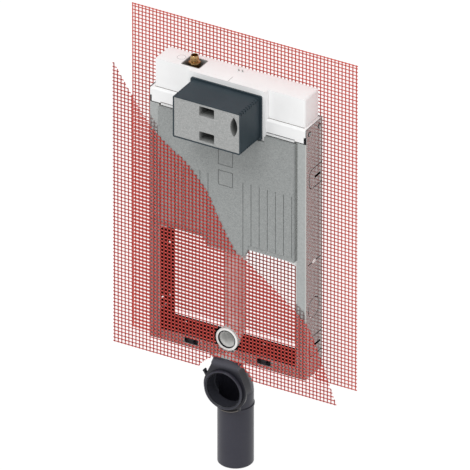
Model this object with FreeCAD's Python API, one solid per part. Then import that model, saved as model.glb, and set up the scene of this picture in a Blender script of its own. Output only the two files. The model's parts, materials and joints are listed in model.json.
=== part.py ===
import FreeCAD, Part
import math
import os

# Wall hung toilet frame for wet construction: a galvanised sheet frame with a concealed cistern
# on top, a flush pipe, a drain bend and two plaster meshes.
# Lengths are millimetres. The pieces are drawn with x across the frame, y as depth behind the
# front flanges and z as height above the frame's lower edge. They are moved to the row's own
# origin, the centre of the bottom rail's rear lip, when they are written out.

V = FreeCAD.Vector
ALONG_X = V(1, 0, 0)
ALONG_Y = V(0, 1, 0)
ALONG_Z = V(0, 0, 1)
OUT = "parts"

# General clearances, and how finely round outlines are drawn in flats
FIT = 0.3
OVERRUN = 5.0
CORNER_FLATS = 3
HOLE_SIDES = 12
BEND_SIDES = 32
BEND_STEPS = 8
SLOT_ROUND = 0.45

# Steel frame
FRAME_WIDTH = 439.0
FRAME_DEPTH = 82.0
FLANGE_HEIGHT = 660.0
TOP_LUG = 40.0
SHEET = 2.0
SHEET_BEND = 3.0
FRONT_FLANGE = 27.5
REAR_FLANGE = 22.0
SLIT = 2.4

# Uprights: screw holes at the top, two wall ears cut out of the web, a knock-out
TOP_HOLE_RADIUS = 4.2
TOP_HOLE_RISE = 20.0
TOP_HOLE_DEPTHS = (15.0, 64.0)
EAR_LENGTH = 56.0
EAR_FRONT = 15.5
EAR_CORNER = 18.0
EAR_HINGE = 5.0
EAR_RELIEF_RADIUS = 2.6
EAR_FROM_FOOT = 80.0
EAR_FROM_FLANGE = 109.5
EAR_SLOT_START = 40.0
EAR_SLOT_END = 72.0
EAR_SLOT_WIDTH = 7.0
KNOCKOUT_HEIGHT = 188.0
KNOCKOUT_RADIUS = 28.0
KNOCKOUT_DEPTH = 40.0
KNOCKOUT_BRIDGE = 5.0
KNOCKOUT_BRIDGE_COUNT = 3
REAR_HOLE_RADIUS = 4.0
REAR_HOLE_MIDDLE = 228.0
REAR_HOLE_FROM_FLANGE = 48.0

# Bottom rail and the studs that carry the bowl
RAIL_HEIGHT = 29.0
STUDS_NARROW = 180.0
STUDS_WIDE = 230.0
STUD_HEIGHT = 18.8
STUD_HOLE_RADIUS = 6.2
STUD_SLOT_LENGTH = 38.0
STUD_SLOT_HEIGHT = 15.7
STUD_SLOT_CORNER = 4.7
INSERT_BORDER = 3.0
INSERT_DEPTH = 14.0
INSERT_PROUD = 1.2
TAB_DROP = 10.0
TAB_TOP_WIDTH = 104.0
TAB_FOOT_WIDTH = 84.0
WALL_SCREW_COUNT = 4
WALL_SCREW_PITCH = 110.0
WALL_SCREW_RADIUS = 3.0

# Foam front panel
PANEL_PROUD = 10.0
PANEL_THICKNESS = 14.0
PANEL_CHAMFER = 2.5
PANEL_FOOT = 327.0
PANEL_TONGUE = 21.0
PANEL_TONGUE_WIDTH = 105.0
PANEL_TONGUE_SLANT = 10.0
PANEL_LEDGE = 13.0
PANEL_LEDGE_DEPTH = 1.5
GROOVE_FIRST = 49.0
GROOVE_PITCH = 22.8
GROOVE_COUNT = 7
GROOVE_START = 11.0
GROOVE_LENGTH = 174.0
GROOVE_WIDTH = 1.8
GROOVE_DEPTH = 2.0
WINDOW_WIDTH = 42.0
WINDOW_EDGES = ((161.0, 203.0), (218.0, 283.0))

# Cistern
BAND_HEIGHT = 39.0
BAND_GAP = 2.5
BAND_CHAMFER = 3.0
BAND_GROOVE = 1.2
BAND_GROOVE_DEPTH = 2.0
BAND_LIP = 4.5
BAND_LIP_WIDTH = 374.0
BAND_LIP_DEPTH = 10.0
PAD_WIDTH = 4.0
PAD_HEIGHT = 16.0
PAD_DEPTH = 8.0
PAD_INSET = 1.0
COVER_WIDTH = 421.0
COVER_HEIGHT = 79.0
COVER_SETBACK = 11.0
COVER_ROUND = 6.0
TANK_SIDE_GAP = 4.0
TANK_CHAMFER = 8.0
TANK_RIB_COUNT = 4
TANK_RIB_DEPTH = 5.0
TANK_RIB_HEIGHT = 26.0
TANK_RIB_CORNER = 10.0
TANK_RIB_MARGIN = 34.0
OUTLET_RADIUS = 31.0
OUTLET_LENGTH = 20.0
OUTLET_SIDES = 24

# Valve pocket in the cistern's top, with the water inlet
POCKET_CENTRE = -114.5
POCKET_WIDTH = 53.0
POCKET_FRONT = 15.0
POCKET_LENGTH = 47.0
POCKET_DEEP = 58.0
POCKET_CORNER = 5.0
LINER_WALL = 2.0
INLET_RADIUS = 10.5
INLET_BORE = 8.2
INLET_ABOVE = 21.0
INLET_THREAD = 17.0
INLET_HEX = 27.0
INLET_HEX_HEIGHT = 13.0
INLET_STEM_RADIUS = 12.0
INLET_SIDES = 6

# Inspection shaft and its plug
SHAFT_WIDTH = 189.0
SHAFT_HEIGHT = 114.0
SHAFT_RISE = 62.0
SHAFT_PROUD = 102.0
SHAFT_WALL = 3.0
SHAFT_FLANGE_WIDTH = 199.0
SHAFT_FLANGE_HEIGHT = 122.0
SHAFT_FLANGE_THICKNESS = 5.0
SHAFT_CORNER = 4.0
NOTCH_START = 6.0
NOTCH_PITCH = 10.0
NOTCH_COUNT = 9
NOTCH_WIDTH = 3.0
NOTCH_DEPTH = 1.5
NOTCH_LENGTH = 7.0
COLLAR_WIDTH = 216.0
COLLAR_DROP = 19.0
COLLAR_PROUD = 3.0
COLLAR_CORNER = 3.0
PLUG_INSET = 1.0
PLUG_WINDOW_WIDTH = 42.0
PLUG_WINDOW_HEIGHT = 26.0
PLUG_WINDOW_OFFSET = 35.0
PLUG_WINDOW_CORNER = 3.0
PLUG_WINDOW_DEPTH = 45.0
PLUG_GRIP_WIDTH = 20.0
PLUG_GRIP_HEIGHT = 54.0
PLUG_GRIP_X = 76.0
PLUG_GRIP_RISE = 16.0
PLUG_GRIP_DEPTH = 30.0

# Support brackets under the cistern
BRACKET_INNER = 150.0
BRACKET_HEIGHT = 20.0
BRACKET_FRONT = 3.0
BRACKET_RIB = 3.0
BRACKET_RIB_COUNT = 4
BRACKET_END_GAP = 6.0
TONGUE_FRONT = 33.0
TONGUE_LENGTH = 16.0
TONGUE_HEIGHT = 9.0
RELIEF_FRONT = 12.0
RELIEF_BACK = 72.0
RELIEF_HEIGHT = 3.0

# Flush pipe
PIPE_DEPTH = 39.3
FLUSH_HEIGHT = 55.0
FLUSH_RADIUS = 26.5
FLUSH_WALL = 2.5
FLUSH_BEND = 28.0
SLEEVE_RADIUS = 30.5
SLEEVE_BORE = 22.0
SLEEVE_PROUD = 4.5
SEAL_WIDTH = 2.5
SEAL_DEPTH = 4.0

# Drain
FLUSH_TO_DRAIN = 135.0
DRAIN_RADIUS = 45.0
DRAIN_WALL = 3.5
DRAIN_BEND = 27.0
DRAIN_TAIL = 39.0
DRAIN_LENGTH = 162.0
DRAIN_CHAMFER = 2.1
BEAD_RADIUS = 47.0
BEAD_HEIGHT = 4.0
SOCKET_RADIUS = 52.5
SOCKET_NECK = 49.5
SOCKET_BORE = 45.5
SOCKET_PROUD = 25.5
SOCKET_RIM = 8.0
DRAIN_SEAL = 2.0

# Clamp that hangs the drain from the bottom rail
CLAMP_HEAD_WIDTH = 76.0
CLAMP_HEAD_TOP = -4.0
CLAMP_HEAD_FOOT = -15.0
CLAMP_FRONT = 14.0
CLAMP_BACK = 12.0
CLAMP_RING = 59.5
CLAMP_LIP = 6.5
CLAMP_LIP_WIDTH = 42.0
CLAMP_LIP_DEPTH = 6.0
SHOULDER_ANGLE = math.radians(23.0)
SHOULDER_DROP = 4.0
LATCH_ANGLE = math.radians(25.0)
LATCH_LEAN = 29.0
LATCH_WIDTH = 4.0
LATCH_DEPTH = 10.0
LATCH_HEIGHT = 11.0
LATCH_HEAD = 3.0

# Plaster meshes: strands are drawn at every seventh place of the woven pitch
MESH_PITCH = 10.0
MESH_SKIP_COUNT = 7
MESH_COLUMN_COUNT = 63
MESH_ROW_COUNT = 91
MESH_STRAND = 3.0
MESH_THICKNESS = 2.0
MESH_REAR_FOOT = -44.0
MESH_FRONT_FOOT = -40.0
MESH_DRAIN_CLEARANCE = 33.0
MESH_SLEEVE_CLEARANCE = 1.5
MESH_SLOT_CLEARANCE = 6.0
MESH_WALL_GAP = 12.0

# The front mesh's cut, from left to right: shares of its width from the middle and of its height
CUT_SHARES = (
    (-0.508, 0.877), (-0.430, 0.795), (-0.341, 0.708), (-0.244, 0.652),
    (-0.171, 0.619), (-0.081, 0.548), (-0.027, 0.474), (0.046, 0.390),
    (0.110, 0.363), (0.316, 0.255), (0.387, 0.198), (0.498, -0.002),
)

# Values that follow from the ones above
half_frame = FRAME_WIDTH / 2
upright_height = FLANGE_HEIGHT + TOP_LUG
web_inside = half_frame - SHEET
panel_half = half_frame - FRONT_FLANGE - FIT
panel_back = PANEL_THICKNESS - PANEL_PROUD
band_foot = FLANGE_HEIGHT + BAND_GAP
band_top = FLANGE_HEIGHT + BAND_HEIGHT
panel_top = band_foot - BAND_LIP - BAND_GAP
cover_foot = band_top + FIT
cover_top = band_top + COVER_HEIGHT
rear_inside = FRAME_DEPTH - SHEET - FIT
tank_front = panel_back + FIT
tank_half = half_frame - REAR_FLANGE - TANK_SIDE_GAP
collar_foot = FLANGE_HEIGHT - COLLAR_DROP
shaft_middle = collar_foot + SHAFT_RISE
shaft_foot = shaft_middle - SHAFT_HEIGHT / 2
drain_height = FLUSH_HEIGHT - FLUSH_TO_DRAIN
drain_bend_front = PIPE_DEPTH - DRAIN_BEND
drain_bend_foot = drain_height - DRAIN_BEND
drain_pipe_front = PIPE_DEPTH - DRAIN_RADIUS
drain_joint = drain_bend_foot - DRAIN_TAIL
flush_bend_front = PIPE_DEPTH - FLUSH_BEND
slot_middle = (STUDS_NARROW + STUDS_WIDE) / 4
mesh_front_depth = -PANEL_PROUD - FIT - MESH_THICKNESS
mesh_rear_depth = FRAME_DEPTH + FIT
origin = V(0, FRAME_DEPTH, RAIL_HEIGHT / 2)


def box(x0, x1, y0, y1, z0, z1):
    return Part.makeBox(x1 - x0, y1 - y0, z1 - z0, V(x0, y0, z0))


def rod(radius, start, axis, length):
    return Part.makeCylinder(radius, length, start, axis)


def tube(outer, inner, start, axis, length):
    return rod(outer, start, axis, length).cut(rod(inner, start, axis, length))


def outline(points, depth0, depth1):
    """A flat shape drawn in x and z, as thick as the two depths say."""
    corners = [V(x, depth0, z) for x, z in points]
    wire = Part.makePolygon(corners + corners[:1])
    return Part.Face(wire).extrude(V(0, depth1 - depth0, 0))


def mirrored(shape):
    return shape.mirror(V(0, 0, 0), ALONG_X)


def both_sides(shape):
    return [shape, mirrored(shape)]


def joined(shapes):
    shape = shapes[0]
    if len(shapes) > 1:
        shape = shape.multiFuse(shapes[1:])
    return shape.removeSplitter()


def rounded(shape, radius, chosen):
    """Fillets the straight edges whose middle point passes the test."""
    edges = []
    for edge in shape.Edges:
        middle = edge.valueAt((edge.FirstParameter + edge.LastParameter) / 2)
        if isinstance(edge.Curve, Part.Line) and chosen(edge, middle):
            edges.append(edge)
    return shape.makeFillet(radius, edges)


def runs_along(edge, axis):
    direction = edge.tangentAt(edge.FirstParameter)
    return abs(abs(direction.dot(axis)) - 1) < 1e-6


def soft_corners(x0, x1, z0, z1, radius):
    """The points of a rectangle whose corners are rounded in a few short flats."""
    points = []
    for number, (x, z) in enumerate(((x1, z1), (x0, z1), (x0, z0), (x1, z0))):
        side = math.copysign(1, x - (x0 + x1) / 2)
        rise = math.copysign(1, z - (z0 + z1) / 2)
        for step in range(CORNER_FLATS + 1):
            angle = math.radians(90 * (number + step / CORNER_FLATS))
            points.append((x - side * radius + radius * math.cos(angle),
                           z - rise * radius + radius * math.sin(angle)))
    return points


def rounded_slab(x0, x1, z0, z1, radius, depth0, depth1):
    """A slab that faces the room."""
    return outline(soft_corners(x0, x1, z0, z1, radius), depth0, depth1)


def side_slab(y0, y1, z0, z1, radius):
    """A tool that goes through the right-hand web, drawn in depth and height."""
    corners = [V(web_inside - OVERRUN, y, z) for y, z in soft_corners(y0, y1, z0, z1, radius)]
    return Part.Face(Part.makePolygon(corners + corners[:1])).extrude(V(SHEET + 2 * OVERRUN, 0, 0))


def top_slab(x0, x1, y0, y1, radius, z0, z1):
    """A slab that faces up."""
    corners = [V(x, y, z0) for x, y in soft_corners(x0, x1, y0, y1, radius)]
    return Part.Face(Part.makePolygon(corners + corners[:1])).extrude(V(0, 0, z1 - z0))


def many_sided(radius, start, axis, length, sides):
    """A bar with a regular outline: the inlet's hexagon, small holes and the stations of a bend."""
    across = ALONG_X if abs(axis.x) < 0.5 else ALONG_Y
    other = axis.cross(across).normalize()
    corners = []
    for number in range(sides):
        angle = 2 * math.pi * (number + 0.5) / sides
        corners.append(start + across * (radius * math.cos(angle)) + other * (radius * math.sin(angle)))
    return Part.Face(Part.makePolygon(corners + corners[:1])).extrude(axis * length)


def solid_bend(size, depth, height, radius, angle):
    """A solid quarter bend of short mitred pieces, from a mouth that faces the room up or down."""
    turn = V(0, depth, height + math.copysign(radius, angle))
    outwards = math.copysign(2 * (radius + size), -angle)
    half_step = math.radians(abs(angle)) / BEND_STEPS / 2
    spread = abs(outwards) * math.tan(half_step)
    side = V(0, spread, outwards)
    other_side = V(0, -spread, outwards)
    wedge = Part.Face(Part.makePolygon([turn, turn + side, turn + other_side, turn]))
    wedge.translate(V(-2 * size, 0, 0))
    wedge = wedge.extrude(V(4 * size, 0, 0))
    start = V(0, depth - 2 * size, turn.z - math.copysign(radius * math.cos(half_step), angle))
    bar = many_sided(size * math.cos(half_step), start, ALONG_Y, 4 * size, BEND_SIDES).common(wedge)
    pieces = []
    for step in range(BEND_STEPS):
        piece = bar.copy()
        piece.rotate(turn, ALONG_X, angle * (step + 0.5) / BEND_STEPS)
        pieces.append(piece)
    return joined(pieces)


def ear_slit(height):
    """The thin cut that frees a wall ear: it is folded out about the upright's rear edge."""
    far = FRAME_DEPTH - EAR_HINGE
    deep = far + EAR_CORNER
    low = height - EAR_LENGTH / 2
    high = height + EAR_LENGTH / 2
    outer = side_slab(EAR_FRONT, deep, low, high, EAR_CORNER)
    inner = side_slab(EAR_FRONT + SLIT, deep + OVERRUN, low + SLIT, high - SLIT, EAR_CORNER - SLIT)
    behind = box(0, FRAME_WIDTH, far, deep + OVERRUN, low - OVERRUN, high + OVERRUN)
    ends = [web_hole(EAR_RELIEF_RADIUS, far, z) for z in (low + SLIT / 2, high - SLIT / 2)]
    return joined([outer.cut([inner, behind])] + ends)


def web_slot(depth0, depth1, height, width):
    return side_slab(depth0, depth1, height - width / 2, height + width / 2, width * SLOT_ROUND)


def web_hole(radius, depth, height, sides=HOLE_SIDES):
    return many_sided(radius, V(web_inside - OVERRUN, depth, height), ALONG_X, SHEET + 2 * OVERRUN, sides)


def knockout():
    ring = web_hole(KNOCKOUT_RADIUS, KNOCKOUT_DEPTH, KNOCKOUT_HEIGHT, BEND_SIDES)
    ring = ring.cut(web_hole(KNOCKOUT_RADIUS - SLIT, KNOCKOUT_DEPTH, KNOCKOUT_HEIGHT, BEND_SIDES))
    reach = KNOCKOUT_RADIUS + OVERRUN
    half = KNOCKOUT_BRIDGE / 2
    for place in range(KNOCKOUT_BRIDGE_COUNT):
        bridge = box(0, FRAME_WIDTH, -reach, reach, -half, half)
        bridge.rotate(V(0, 0, 0), ALONG_X, (place + 0.5) * 180 / KNOCKOUT_BRIDGE_COUNT)
        bridge.translate(V(0, KNOCKOUT_DEPTH, KNOCKOUT_HEIGHT))
        ring = ring.cut(bridge)
    return ring


def upright():
    """The right-hand C profile."""
    outer = box(half_frame - FRONT_FLANGE, half_frame, 0, FRAME_DEPTH, 0, upright_height)
    outer = rounded(outer, SHEET_BEND, lambda edge, middle: (
        runs_along(edge, ALONG_Z) and middle.x > web_inside))
    inner = box(0, web_inside, SHEET, FRAME_DEPTH - SHEET, -OVERRUN, upright_height + OVERRUN)
    inner = rounded(inner, SHEET_BEND - SHEET, lambda edge, middle: (
        runs_along(edge, ALONG_Z) and middle.x > 1))
    shape = outer.cut(inner)
    rear_edge = half_frame - REAR_FLANGE
    shape = shape.cut(box(0, rear_edge, FRAME_DEPTH / 2, FRAME_DEPTH + OVERRUN,
                          -OVERRUN, upright_height + OVERRUN))
    shape = shape.cut(box(0, half_frame + OVERRUN, -OVERRUN, SHEET_BEND,
                          FLANGE_HEIGHT, upright_height + OVERRUN))
    tools = [knockout()]
    for depth in TOP_HOLE_DEPTHS:
        tools.append(web_hole(TOP_HOLE_RADIUS, depth, FLANGE_HEIGHT + TOP_HOLE_RISE))
    for height in (EAR_FROM_FOOT, FLANGE_HEIGHT - EAR_FROM_FLANGE):
        tools.append(ear_slit(height))
        tools.append(web_slot(EAR_SLOT_START, EAR_SLOT_END, height, EAR_SLOT_WIDTH))
    tongue_middle = PANEL_FOOT - FIT - BRACKET_HEIGHT / 2
    tools.append(web_slot(TONGUE_FRONT - FIT, TONGUE_FRONT + TONGUE_LENGTH + FIT,
                          tongue_middle, TONGUE_HEIGHT + 2 * FIT))
    tools.append(web_slot(RELIEF_FRONT, RELIEF_BACK, tongue_middle, RELIEF_HEIGHT))
    for height in (EAR_FROM_FOOT, REAR_HOLE_MIDDLE, FLANGE_HEIGHT - REAR_HOLE_FROM_FLANGE):
        start = V(half_frame - REAR_FLANGE / 2, FRAME_DEPTH / 2, height)
        tools.append(many_sided(REAR_HOLE_RADIUS, start, ALONG_Y, FRAME_DEPTH, HOLE_SIDES))
    return shape.cut(tools)


def bottom_rail():
    floor = box(-web_inside, web_inside, 0, FRAME_DEPTH, 0, SHEET)
    tab = outline([(-TAB_TOP_WIDTH / 2, SHEET), (-TAB_FOOT_WIDTH / 2, -TAB_DROP),
                   (TAB_FOOT_WIDTH / 2, -TAB_DROP), (TAB_TOP_WIDTH / 2, SHEET)], 0, SHEET)
    front = box(-web_inside, web_inside, 0, SHEET, 0, RAIL_HEIGHT)
    rear = box(-web_inside, web_inside, FRAME_DEPTH - SHEET, FRAME_DEPTH, 0, RAIL_HEIGHT)
    shape = joined([floor, tab, front, rear])
    flange = box(web_inside - FRONT_FLANGE, FRAME_WIDTH, -OVERRUN, SHEET + FIT, -OVERRUN, RAIL_HEIGHT + 1)
    ear = box(half_frame - REAR_FLANGE - FIT, FRAME_WIDTH, FRAME_DEPTH - SHEET - FIT,
              FRAME_DEPTH + OVERRUN, -OVERRUN, RAIL_HEIGHT + 1)
    tools = both_sides(flange) + both_sides(ear)
    slot = rounded_slab(slot_middle - STUD_SLOT_LENGTH / 2, slot_middle + STUD_SLOT_LENGTH / 2,
                        STUD_HEIGHT - STUD_SLOT_HEIGHT / 2, STUD_HEIGHT + STUD_SLOT_HEIGHT / 2,
                        STUD_SLOT_CORNER, -OVERRUN, SHEET + OVERRUN)
    tools += both_sides(slot)
    tools.append(rod(SLEEVE_RADIUS + FIT, V(0, -OVERRUN, FLUSH_HEIGHT), ALONG_Y, 2 * OVERRUN))
    for place in range(WALL_SCREW_COUNT):
        x = (place - (WALL_SCREW_COUNT - 1) / 2) * WALL_SCREW_PITCH
        tools.append(rod(WALL_SCREW_RADIUS, V(x, FRAME_DEPTH / 2, RAIL_HEIGHT / 2), ALONG_Y, FRAME_DEPTH))
    return shape.cut(tools)


def bolt_insert():
    """The right-hand plastic insert: its two holes take a stud at either bowl spacing."""
    half_length = STUD_SLOT_LENGTH / 2 - FIT
    half_height = STUD_SLOT_HEIGHT / 2 - FIT
    nose = rounded_slab(slot_middle - half_length, slot_middle + half_length,
                        STUD_HEIGHT - half_height, STUD_HEIGHT + half_height,
                        STUD_SLOT_CORNER - FIT, -INSERT_PROUD, SHEET + FIT)
    low = max(STUD_HEIGHT - half_height - INSERT_BORDER, SHEET + FIT)
    body = box(slot_middle - half_length - INSERT_BORDER, slot_middle + half_length + INSERT_BORDER,
               SHEET + FIT, SHEET + INSERT_DEPTH, low, STUD_HEIGHT + half_height + INSERT_BORDER)
    shape = joined([nose, body])
    for span in (STUDS_NARROW, STUDS_WIDE):
        shape = shape.cut(rod(STUD_HOLE_RADIUS, V(span / 2, -OVERRUN, STUD_HEIGHT), ALONG_Y,
                              INSERT_DEPTH + 2 * OVERRUN))
    return shape


def groove(x, z0, z1):
    half = GROOVE_WIDTH / 2
    return box(x - half, x + half, -PANEL_PROUD - OVERRUN, -PANEL_PROUD + GROOVE_DEPTH, z0, z1)


def front_panel():
    tongue_half = PANEL_TONGUE_WIDTH / 2
    shoulder = tongue_half + PANEL_TONGUE_SLANT
    tongue_foot = PANEL_FOOT - PANEL_TONGUE
    shape = outline([(-panel_half, panel_top), (-panel_half, PANEL_FOOT), (-shoulder, PANEL_FOOT),
                     (-tongue_half, tongue_foot), (tongue_half, tongue_foot),
                     (shoulder, PANEL_FOOT), (panel_half, PANEL_FOOT), (panel_half, panel_top)],
                    -PANEL_PROUD, panel_back)
    shape = shape.makeChamfer(PANEL_CHAMFER, [edge for edge in shape.Edges if (
        runs_along(edge, ALONG_Z) and edge.CenterOfMass.y < 0
        and abs(edge.CenterOfMass.x) > panel_half - 1)])
    collar_half = COLLAR_WIDTH / 2 + FIT
    tools = [box(-collar_half, collar_half, -FRAME_DEPTH, FRAME_DEPTH, collar_foot - FIT, cover_top)]
    flange_half = SHAFT_FLANGE_WIDTH / 2 + FIT
    flange_foot = shaft_middle - SHAFT_FLANGE_HEIGHT / 2 - FIT
    tools.append(box(-flange_half, flange_half, -FRAME_DEPTH, 0, flange_foot, cover_top))
    ledge = box(-FRAME_WIDTH, FRAME_WIDTH, -PANEL_PROUD - OVERRUN, -PANEL_PROUD + PANEL_LEDGE_DEPTH,
                tongue_foot, PANEL_FOOT + PANEL_LEDGE)
    keep = box(-shoulder, shoulder, -FRAME_DEPTH, 0, tongue_foot, PANEL_FOOT + PANEL_LEDGE)
    tools.append(ledge.cut(keep))
    for place in range(GROOVE_COUNT):
        x = GROOVE_FIRST + place * GROOVE_PITCH
        foot = tongue_foot if x < tongue_half else PANEL_FOOT + GROOVE_START
        tools += both_sides(groove(x, foot, PANEL_FOOT + GROOVE_START + GROOVE_LENGTH))
    half = WINDOW_WIDTH / 2
    for above_low, above_high in WINDOW_EDGES:
        low = PANEL_FOOT + above_low
        high = PANEL_FOOT + above_high
        outer = rounded_slab(-half, half, low, high, GROOVE_WIDTH,
                             -PANEL_PROUD, -PANEL_PROUD + GROOVE_DEPTH)
        inner = box(-half + GROOVE_WIDTH, half - GROOVE_WIDTH, -PANEL_PROUD, 0,
                    low + GROOVE_WIDTH, high - GROOVE_WIDTH)
        tools.append(outer.cut(inner))
    return shape.cut(tools)


def cistern_tank():
    """The tank behind the foam panel, with level beads pressed into its rear wall."""
    shape = box(-tank_half, tank_half, tank_front, rear_inside, PANEL_FOOT, band_foot - FIT)
    edges = [edge for edge in shape.Edges if runs_along(edge, ALONG_Z)]
    shape = shape.makeChamfer(TANK_CHAMFER, edges)
    room = FLANGE_HEIGHT - PANEL_FOOT - 2 * TANK_RIB_MARGIN
    step = room / TANK_RIB_COUNT
    reach = tank_half - TANK_RIB_MARGIN
    tools = []
    for place in range(TANK_RIB_COUNT):
        middle = PANEL_FOOT + TANK_RIB_MARGIN + (place + 0.5) * step
        tools.append(rounded_slab(-reach, reach, middle - TANK_RIB_HEIGHT / 2,
                                  middle + TANK_RIB_HEIGHT / 2, TANK_RIB_CORNER,
                                  rear_inside - TANK_RIB_DEPTH, rear_inside + OVERRUN))
    collar_half = COLLAR_WIDTH / 2 + FIT
    tools.append(box(-collar_half, collar_half, 0, COVER_SETBACK + FIT, collar_foot - FIT, cover_top))
    return shape.cut(tools)


def tank_outlet():
    """The union nut under the tank, in which the flush pipe ends."""
    foot = PANEL_FOOT - OUTLET_LENGTH
    start = V(0, PIPE_DEPTH, foot)
    nut = many_sided(OUTLET_RADIUS, start, ALONG_Z, OUTLET_LENGTH, OUTLET_SIDES)
    return nut.cut(rod(FLUSH_RADIUS + FIT, start, ALONG_Z, OUTLET_LENGTH))


def cistern_band():
    half = web_inside - FIT
    body = box(-half, half, 0, rear_inside, band_foot, band_top)
    body = body.makeChamfer(BAND_CHAMFER, [edge for edge in body.Edges if (
        runs_along(edge, ALONG_X) and edge.CenterOfMass.y < 1 and edge.CenterOfMass.z > band_top - 1)])
    lip = box(-BAND_LIP_WIDTH / 2, BAND_LIP_WIDTH / 2, 0, BAND_LIP_DEPTH,
              band_foot - BAND_LIP, band_foot + 1)
    collar_half = COLLAR_WIDTH / 2 + FIT
    notch = box(-collar_half, collar_half, -OVERRUN, COVER_SETBACK + FIT, 0, band_top + OVERRUN)
    shape = joined([body, lip]).cut(notch)
    tank_room = box(-FRAME_WIDTH, FRAME_WIDTH, tank_front - FIT, FRAME_DEPTH, 0, band_foot)
    pad_room = box(half - PAD_WIDTH - FIT, FRAME_WIDTH, -OVERRUN, PAD_DEPTH + FIT, 0,
                   band_foot + PAD_HEIGHT + FIT)
    groove_half = BAND_LIP_WIDTH / 2 + BAND_GROOVE
    groove_room = box(-groove_half, groove_half, -OVERRUN, BAND_GROOVE_DEPTH,
                      band_foot, band_foot + BAND_GROOVE)
    return shape.cut([tank_room, groove_room] + both_sides(pad_room))


def corner_pad():
    """The black pad between the right-hand end of the band and the upright."""
    half = web_inside - FIT
    return box(half - PAD_WIDTH, half, PAD_INSET, PAD_DEPTH, band_foot - BAND_GAP + FIT,
               band_foot + PAD_HEIGHT)


def pocket(wall_gap, deep):
    half = POCKET_WIDTH / 2 - wall_gap
    return top_slab(POCKET_CENTRE - half, POCKET_CENTRE + half, POCKET_FRONT + wall_gap,
                    POCKET_FRONT + POCKET_LENGTH - wall_gap, POCKET_CORNER - wall_gap,
                    cover_top - deep, cover_top + OVERRUN)


def cistern_cover():
    half = COVER_WIDTH / 2
    shape = box(-half, half, COVER_SETBACK, rear_inside, cover_foot, cover_top)
    shape = rounded(shape, COVER_ROUND, lambda edge, middle: middle.z > cover_foot + 1 and (
        not runs_along(edge, ALONG_X) or middle.y > FRAME_DEPTH / 2))
    collar_half = COLLAR_WIDTH / 2 + FIT
    shape = shape.cut(box(-collar_half, collar_half, 0, COVER_SETBACK + FIT, 0, cover_top + OVERRUN))
    return shape.cut(pocket(0, POCKET_DEEP))


def pocket_liner():
    outer = pocket(FIT, POCKET_DEEP - FIT)
    outer = outer.cut(box(-FRAME_WIDTH, FRAME_WIDTH, 0, FRAME_DEPTH, cover_top, cover_top + 2 * OVERRUN))
    return outer.cut(pocket(FIT + LINER_WALL, POCKET_DEEP - FIT - LINER_WALL))


def inlet_parts():
    """The water inlet: a stem on the pocket's floor, a hexagon and a threaded end."""
    floor = cover_top - POCKET_DEEP + FIT + LINER_WALL
    axis = V(POCKET_CENTRE, POCKET_FRONT + POCKET_LENGTH / 2, 0)
    top = cover_top + INLET_ABOVE
    thread_foot = top - INLET_THREAD
    hex_foot = thread_foot - INLET_HEX_HEIGHT
    reach = INLET_HEX / 2 / math.cos(math.pi / INLET_SIDES)
    nut = many_sided(reach, V(axis.x, axis.y, hex_foot), ALONG_Z, INLET_HEX_HEIGHT, INLET_SIDES)
    thread = rod(INLET_RADIUS, V(axis.x, axis.y, thread_foot), ALONG_Z, INLET_THREAD)
    bore = rod(INLET_BORE, V(axis.x, axis.y, hex_foot + 1), ALONG_Z, INLET_HEX_HEIGHT + INLET_THREAD)
    fitting = joined([nut, thread]).cut(bore)
    stem = many_sided(INLET_STEM_RADIUS, V(axis.x, axis.y, floor), ALONG_Z, hex_foot - floor, BEND_SIDES)
    return stem, fitting


def shaft_slab(width, height, gap, depth0, depth1, radius):
    return rounded_slab(-width / 2 + gap, width / 2 - gap, shaft_middle - height / 2 + gap,
                        shaft_middle + height / 2 - gap, radius, depth0, depth1)


def shaft_collar():
    half = COLLAR_WIDTH / 2
    slab = rounded_slab(-half, half, collar_foot, cover_top, COLLAR_CORNER, -COLLAR_PROUD, COVER_SETBACK)
    return slab.cut(shaft_slab(SHAFT_WIDTH, SHAFT_HEIGHT, -FIT, -FRAME_DEPTH, FRAME_DEPTH, SHAFT_CORNER))


def inspection_shaft():
    body = shaft_slab(SHAFT_WIDTH, SHAFT_HEIGHT, 0, -SHAFT_PROUD, COVER_SETBACK, SHAFT_CORNER)
    flange = shaft_slab(SHAFT_FLANGE_WIDTH, SHAFT_FLANGE_HEIGHT, 0,
                        -COLLAR_PROUD - SHAFT_FLANGE_THICKNESS, -COLLAR_PROUD, SHAFT_CORNER)
    hollow = shaft_slab(SHAFT_WIDTH, SHAFT_HEIGHT, SHAFT_WALL, -SHAFT_PROUD - OVERRUN,
                        COVER_SETBACK + OVERRUN, SHAFT_CORNER - SHAFT_WALL)
    shape = joined([body, flange]).cut(hollow)
    tools = []
    for place in range(NOTCH_COUNT):
        depth = -SHAFT_PROUD + NOTCH_START + place * NOTCH_PITCH
        for x in (-SHAFT_WIDTH / 2, SHAFT_WIDTH / 2):
            for z in (shaft_foot, shaft_foot + SHAFT_HEIGHT):
                for wide, tall in ((NOTCH_LENGTH, NOTCH_DEPTH), (NOTCH_DEPTH, NOTCH_LENGTH)):
                    tools.append(box(x - wide, x + wide, depth - NOTCH_WIDTH / 2,
                                     depth + NOTCH_WIDTH / 2, z - tall, z + tall))
    return shape.cut(tools)


def grip(depth0, depth1):
    """The pointed finger notch at the plug's edge: two arcs that meet above and below."""
    middle = shaft_middle + PLUG_GRIP_RISE
    half = PLUG_GRIP_HEIGHT / 2
    low = V(PLUG_GRIP_X, depth0, middle - half)
    high = V(PLUG_GRIP_X, depth0, middle + half)
    left = Part.Arc(low, V(PLUG_GRIP_X - PLUG_GRIP_WIDTH / 2, depth0, middle), high).toShape()
    right = Part.Arc(high, V(PLUG_GRIP_X + PLUG_GRIP_WIDTH / 2, depth0, middle), low).toShape()
    return Part.Face(Part.Wire([left, right])).extrude(V(0, depth1 - depth0, 0))


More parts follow.
